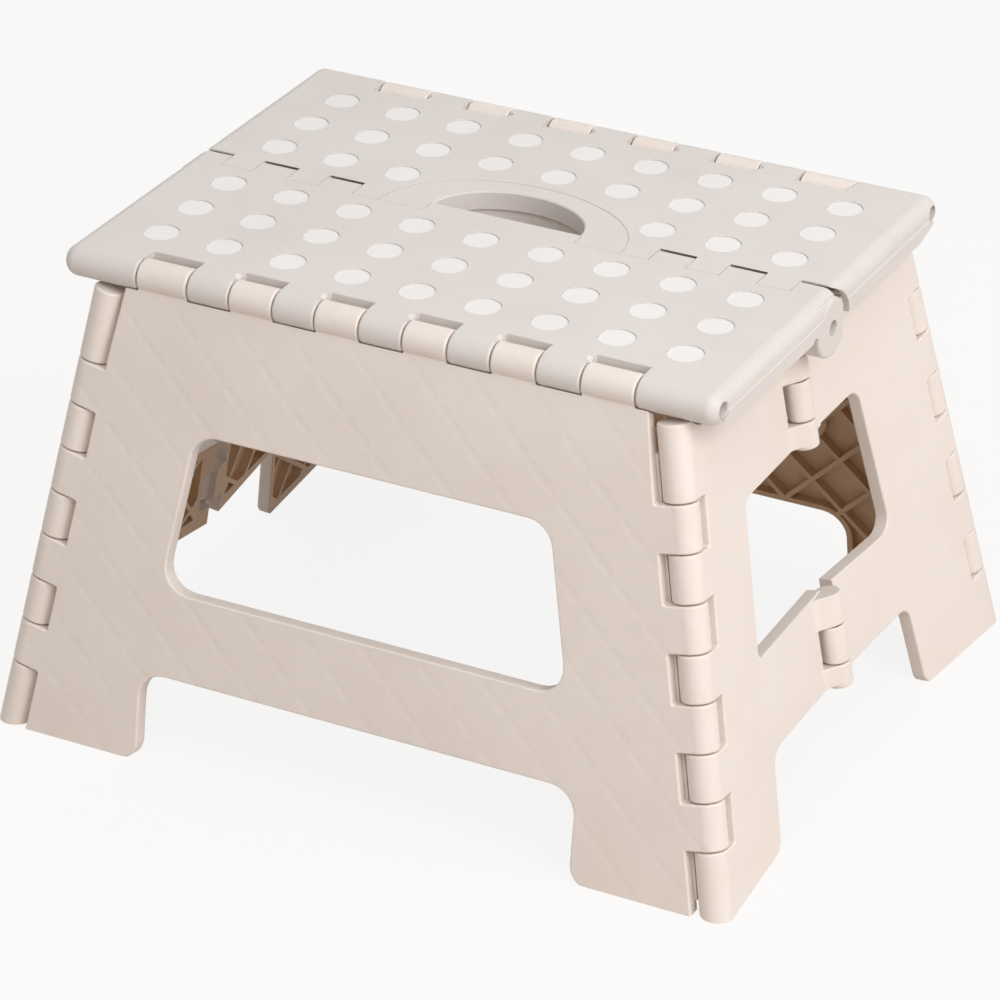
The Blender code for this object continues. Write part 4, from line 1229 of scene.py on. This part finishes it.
def spread(tree, value, ends, target=(0.0, 1.0)):
    """Add a Map Range node from one range to another and return its result."""
    node = add_node(tree, "ShaderNodeMapRange", {
        "Value": value, "From Min": ends[0], "From Max": ends[1], "To Min": target[0], "To Max": target[1]})
    return node.outputs["Result"]


def mixed(tree, kind, factor, first, second):
    """Add a Mix node of colours and return its result."""
    mix = tree.nodes.new("ShaderNodeMix")
    mix.data_type = "RGBA"
    mix.blend_type = kind
    for socket, value in ((mix.inputs["Factor"], factor), (mix.inputs[6], first), (mix.inputs[7], second)):
        feed(tree, socket, value)
    return mix.outputs[2]


def shaded(colour, shares=(1.0, 1.0, 1.0)):
    """Return a colour with its channels scaled by shares, as an opaque one."""
    return (*(channel * part for channel, part in zip(colour, shares)), 1.0)


def node_group(name, inputs, outputs):
    """Make a node group of number sockets and return it with its end nodes."""
    tree = bpy.data.node_groups.new(name, "ShaderNodeTree")
    for socket, value in inputs.items():
        entry = tree.interface.new_socket(name=socket, in_out="INPUT", socket_type="NodeSocketFloat")
        entry.default_value = value
    for socket in outputs:
        tree.interface.new_socket(name=socket, in_out="OUTPUT", socket_type="NodeSocketFloat")
    return tree, tree.nodes.new("NodeGroupInput"), tree.nodes.new("NodeGroupOutput")


def grain_group():
    """Return the node group of moulded plastic: fine grain, slow mottling and small specks."""
    name = "Moulded Grain"
    found = bpy.data.node_groups.get(name)
    if found:
        return found
    scales = {"Grain Scale": 1600.0, "Mottle Scale": 18.0, "Speck Scale": 700.0}
    tree, entry, leave = node_group(name, scales, ("Grain", "Mottle", "Specks"))
    where = add_node(tree, "ShaderNodeTexCoord").outputs["Object"]
    results = []
    for scale, detail, roughness in zip(scales, (3.0, 4.0, 1.0), (0.6, 0.6, 0.5)):
        noise = add_node(tree, "ShaderNodeTexNoise", {
            "Vector": where, "Scale": entry.outputs[scale], "Detail": detail, "Roughness": roughness})
        results.append(noise.outputs["Fac"])
    results[2] = spread(tree, results[2], SPECK_RANGE)
    for socket, result in zip(leave.inputs, results):
        feed(tree, socket, result)
    return tree


def sink_group():
    """Return the node group of sink lines: faint slanting lines where ribs lie behind a face."""
    name = "Sink Lines"
    found = bpy.data.node_groups.get(name)
    if found:
        return found
    tree, entry, leave = node_group(name, {"Pitch": 0.025, "Across": 0.0, "Up": 0.0}, ("Lines",))
    masks = []
    for operation in ("ADD", "SUBTRACT"):
        total = reckon(tree, operation, entry.outputs["Across"], entry.outputs["Up"])
        slanted = reckon(tree, "MULTIPLY", total, cos(pi / 4))
        pitches = reckon(tree, "DIVIDE", slanted, entry.outputs["Pitch"])
        part = reckon(tree, "FRACT", reckon(tree, "ADD", pitches, 0.5))
        away = reckon(tree, "ABSOLUTE", reckon(tree, "SUBTRACT", part, 0.5))
        edge = add_node(tree, "ShaderNodeMapRange", {"Value": away, "From Min": SINK_SPREAD, "From Max": 0.0})
        edge.interpolation_type = "SMOOTHSTEP"
        masks.append(edge.outputs["Result"])
    feed(tree, leave.inputs["Lines"], reckon(tree, "MAXIMUM", *masks))
    return tree


def new_material(name):
    """Make a material and return it with its node tree and its shader."""
    material = bpy.data.materials.new(name)
    material.use_nodes = True
    return material, material.node_tree, material.node_tree.nodes["Principled BSDF"]


def plastic(name, colour, speckle, inner=None, lean=None):
    """Make a moulded plastic: mottled colour, specks, uneven gloss and fine grain.

    A painted shade, given as the inner colour, darkens and browns the marked faces behind the face, and a
    panel's lean adds the sink lines on its face.
    """
    roughness = bpy.context.scene.stool_finishes.roughness
    material, tree, shader = new_material(name)
    grain = add_node(tree, "ShaderNodeGroup", group=grain_group())
    mottle = grain.outputs["Mottle"]
    base = mixed(tree, "MIX", spread(tree, mottle, MOTTLE_RANGE), shaded(colour), shaded(colour, DEEP_SHARES))
    dust = reckon(tree, "MULTIPLY", grain.outputs["Specks"], speckle)
    base = mixed(tree, "MIX", dust, base, shaded(colour, DUST_SHARES))
    # Painted shade: the faces marked inner are multiplied by the inner colour, standing in for the shade in
    # the panels' recesses.
    if inner:
        mark = add_node(tree, "ShaderNodeAttribute")
        mark.attribute_name = "inner"
        base = mixed(tree, "MULTIPLY", mark.outputs["Fac"], base, shaded(inner))
    bump = add_node(tree, "ShaderNodeBump", {
        "Strength": GRAIN_STRENGTH, "Distance": GRAIN_DEPTH, "Height": grain.outputs["Grain"]})
    if lean is not None:
        where = add_node(tree, "ShaderNodeTexCoord").outputs["Object"]
        turned = add_node(tree, "ShaderNodeMapping", {"Vector": where, "Rotation": (lean, 0.0, 0.0)})
        split = add_node(tree, "ShaderNodeSeparateXYZ", {"Vector": turned.outputs["Vector"]})
        places = {"Pitch": size("rib_pitch") * MM, "Across": split.outputs["X"], "Up": split.outputs["Z"]}
        lines = add_node(tree, "ShaderNodeGroup", places, sink_group())
        dent = add_node(tree, "ShaderNodeBump", {
            "Strength": SINK_STRENGTH, "Distance": SINK_DEPTH, "Height": lines.outputs["Lines"]})
        dent.invert = True
        feed(tree, bump.inputs["Normal"], dent.outputs["Normal"])
    gloss = [roughness + change for change in PLASTIC_GLOSS]
    feed(tree, shader.inputs["Base Color"], base)
    feed(tree, shader.inputs["Roughness"], spread(tree, mottle, (0.0, 1.0), gloss))
    feed(tree, shader.inputs["Normal"], bump.outputs["Normal"])
    return material


def drawn_steel(name, colour):
    """Make the pins' steel: drawn streaks in its colour and gloss."""
    material, tree, shader = new_material(name)
    where = add_node(tree, "ShaderNodeTexCoord").outputs["Object"]
    noise = add_node(tree, "ShaderNodeTexNoise", {"Vector": where, "Scale": 900.0, "Detail": 3.0})
    streaks = noise.outputs["Fac"]
    base = mixed(tree, "MIX", streaks, shaded(colour), shaded(colour, DULL_SHARES))
    feed(tree, shader.inputs["Metallic"], 1.0)
    feed(tree, shader.inputs["Base Color"], base)
    feed(tree, shader.inputs["Roughness"], spread(tree, streaks, (0.0, 1.0), STEEL_GLOSS))
    return material


class STOOL_OT_treads(bpy.types.Operator):
    """Build the two tread halves"""

    bl_idname = "stool.treads"
    bl_label = "Treads"
    bl_options = {"REGISTER", "UNDO"}

    def execute(self, context):
        material = plastic("grey_moulding", context.scene.stool_finishes.grey, GREY_SPECKLE)
        for kind in ("front", "rear"):
            half = tread_half(kind)
            if kind == "rear":
                mirrored(half, Y_AXIS)
            node = f"tread_{kind}"
            finish_piece(half, node + "_moulding", material, node, node)
        return {"FINISHED"}


class STOOL_OT_grips(bpy.types.Operator):
    """Build the strips of grip dots"""

    bl_idname = "stool.grips"
    bl_label = "Grip Dots"
    bl_options = {"REGISTER", "UNDO"}

    def execute(self, context):
        material = plastic("dot_moulding", context.scene.stool_finishes.light, DOT_SPECKLE)
        for kind in ("front", "rear"):
            for row in range(len(DOT_ROWS)):
                groups = dot_places(row, kind)
                for index, group in enumerate(groups):
                    strip = grip_strip(row, group)
                    if kind == "rear":
                        mirrored(strip, Y_AXIS)
                    node = f"grip_{kind}_{row + 1}"
                    if len(groups) > 1:
                        node += ("_left", "_right")[index]
                    finish_piece(strip, node + "_dots", material, f"tread_{kind}", node)
        return {"FINISHED"}


class STOOL_OT_legs(bpy.types.Operator):
    """Build the two leg panels"""

    bl_idname = "stool.legs"
    bl_label = "Leg Panels"
    bl_options = {"REGISTER", "UNDO"}

    def execute(self, context):
        finishes = context.scene.stool_finishes
        splay = LEG_UP.angle(Z_AXIS)
        front = leg_panel()
        rear = twin(front)
        rear.data.transform(Matrix.Rotation(pi, 4, "Z"))
        for body, node, lean in ((front, "front_leg", splay), (rear, "rear_leg", -splay)):
            name = node + "_moulding"
            # The inner colour paints shade on the faces behind the panel's face.
            material = plastic(name, finishes.cream, CREAM_SPECKLE, finishes.inner, lean)
            finish_piece(body, name, material, node, node + "_panel")
        return {"FINISHED"}


class STOOL_OT_ends(bpy.types.Operator):
    """Build the four end halves"""

    bl_idname = "stool.ends"
    bl_label = "End Halves"
    bl_options = {"REGISTER", "UNDO"}

    def execute(self, context):
        finishes = context.scene.stool_finishes
        # The inner colour paints shade on the faces behind the end halves' faces.
        material = plastic("end_moulding", finishes.cream, CREAM_SPECKLE, finishes.inner)
        for kind in ("front", "rear"):
            right = end_half(kind)
            if kind == "rear":
                mirrored(right, Y_AXIS)
            left = mirrored(twin(right), X_AXIS)
            for body, side in ((right, "right"), (left, "left")):
                node = f"end_{side}_{kind}"
                finish_piece(body, node + "_moulding", material, node, node)
        return {"FINISHED"}


class STOOL_OT_pins(bpy.types.Operator):
    """Give the hinge pins their steel"""

    bl_idname = "stool.pins"
    bl_label = "Hinge Pins"
    bl_options = {"REGISTER", "UNDO"}

    def execute(self, context):
        material = drawn_steel("pin_steel_drawn", context.scene.stool_finishes.steel)
        pins = [node for name, node in frame["nodes"].items() if "_pin" in name]
        if not pins:
            raise RuntimeError("the model has no hinge pins")
        for pin in pins:
            pin.data.materials.clear()
            pin.data.materials.append(material)
        return {"FINISHED"}


def add_lamp(name, place_m, width, watts, colour):
    """Add a soft square lamp that looks at the stool."""
    data = bpy.data.lights.new(name, "AREA")
    data.shape = "SQUARE"
    data.size = width
    data.energy = watts
    data.color = colour[:3]
    lamp = bpy.data.objects.new(name, data)
    bpy.context.scene.collection.objects.link(lamp)
    lamp.location = place_m
    lamp.rotation_euler = (LAMP_TARGET - Vector(place_m)).to_track_quat("-Z", "Y").to_euler()


def mix_seen(tree, factor, first, second, output):
    """Mix two shaders, the second for what the camera sees, straight or in gloss or through glass."""
    path = tree.nodes.new("ShaderNodeLightPath")
    seen = path.outputs["Is Camera Ray"]
    for name in ("Is Glossy Ray", "Is Transmission Ray"):
        seen = reckon(tree, "MAXIMUM", seen, path.outputs[name])
    mix = add_node(tree, "ShaderNodeMixShader", {
        "Fac": reckon(tree, "MULTIPLY", seen, factor), 1: first.outputs[0], 2: second.outputs[0]})
    feed(tree, tree.nodes[output].inputs["Surface"], mix.outputs["Shader"])


def floor_finish(white):
    """Make the floor's plain white, which keeps the stool's shadow."""
    material, tree, shader = new_material("stage_white")
    for key, value in (("Base Color", FLOOR_COLOUR), ("Roughness", 0.9), ("Specular IOR Level", 0.1)):
        feed(tree, shader.inputs[key], value)
    glow = add_node(tree, "ShaderNodeEmission", {"Color": WHITE})
    mix_seen(tree, white, shader, glow, "Material Output")
    return material


class STOOL_OT_stage(bpy.types.Operator):
    """Set the camera, the lamps, the floor and the background"""

    bl_idname = "stool.stage"
    bl_label = "Stage"
    bl_options = {"REGISTER", "UNDO"}

    def execute(self, context):
        scene = context.scene
        stage = scene.stool_stage
        scene.view_settings.view_transform = "Standard"

        azimuth = stage.camera_azimuth
        elevation = stage.camera_elevation
        back = Vector((sin(azimuth) * cos(elevation), -cos(azimuth) * cos(elevation), sin(elevation)))
        right = (-back).cross(Z_AXIS).normalized()
        up = right.cross(-back)
        turn = Matrix.Rotation(stage.camera_roll, 4, back)
        data = bpy.data.cameras.new("stage_camera")
        data.sensor_width = 36.0
        data.lens = stage.camera_lens
        camera = bpy.data.objects.new("stage_camera", data)
        scene.collection.objects.link(camera)
        camera.matrix_world = frame_at(Vector(stage.camera_place), turn @ right, turn @ up, back)
        scene.camera = camera

        maker = bmesh.new()
        bmesh.ops.create_grid(maker, x_segments=1, y_segments=1, size=FLOOR_SIZE)
        floor = place(maker, WORLD, "stage_floor")
        floor.data.materials.append(floor_finish(stage.floor_white))

        add_lamp("stage_key", (1.5, -0.5, 1.3), 1.2, stage.key_power, WHITE)
        add_lamp("stage_front", (0.3, -1.2, 1.9), 1.4, stage.front_power, WARM_WHITE)
        add_lamp("stage_top", (-0.3, 1.2, 1.6), 1.6, stage.top_power, WHITE)

        world = bpy.data.worlds.new("stage_sky")
        world.use_nodes = True
        scene.world = world
        tree = world.node_tree
        sky = tree.nodes["Background"]
        feed(tree, sky.inputs["Color"], WARM_WHITE)
        feed(tree, sky.inputs["Strength"], stage.sky_strength)
        white = add_node(tree, "ShaderNodeBackground", {"Color": WHITE})
        mix_seen(tree, 1.0, sky, white, "World Output")
        return {"FINISHED"}


class STOOL_PT_panel(bpy.types.Panel):
    """Sizes, finishes and steps of the stool"""

    bl_idname = "STOOL_PT_panel"
    bl_label = "Folding Step Stool"
    bl_space_type = "VIEW_3D"
    bl_region_type = "UI"
    bl_category = "Stool"

    def draw(self, context):
        scene = context.scene
        for settings in (scene.stool_sizes, scene.stool_finishes, scene.stool_stage):
            column = self.layout.column()
            for name in settings.__annotations__:
                column.prop(settings, name)
        for operator in STEPS:
            self.layout.operator(operator.bl_idname)


SETTINGS = (("stool_sizes", StoolSizes), ("stool_finishes", StoolFinishes), ("stool_stage", StoolStage))
STEPS = (STOOL_OT_treads, STOOL_OT_grips, STOOL_OT_legs, STOOL_OT_ends, STOOL_OT_pins, STOOL_OT_stage)


def register():
    """Register the classes and their settings."""
    for name, settings in SETTINGS:
        bpy.utils.register_class(settings)
        setattr(bpy.types.Scene, name, bpy.props.PointerProperty(type=settings))
    for step in STEPS:
        bpy.utils.register_class(step)
    bpy.utils.register_class(STOOL_PT_panel)


def unregister():
    """Remove the classes and their settings."""
    bpy.utils.unregister_class(STOOL_PT_panel)
    for step in reversed(STEPS):
        bpy.utils.unregister_class(step)
    for name, settings in reversed(SETTINGS):
        delattr(bpy.types.Scene, name)
        bpy.utils.unregister_class(settings)


def main():
    """Build the stool's looks."""
    register()
    bpy.ops.stool.treads()
    bpy.ops.stool.grips()
    bpy.ops.stool.legs()
    bpy.ops.stool.ends()
    bpy.ops.stool.pins()
    bpy.ops.stool.stage()


if __name__ == "__main__":
    main()
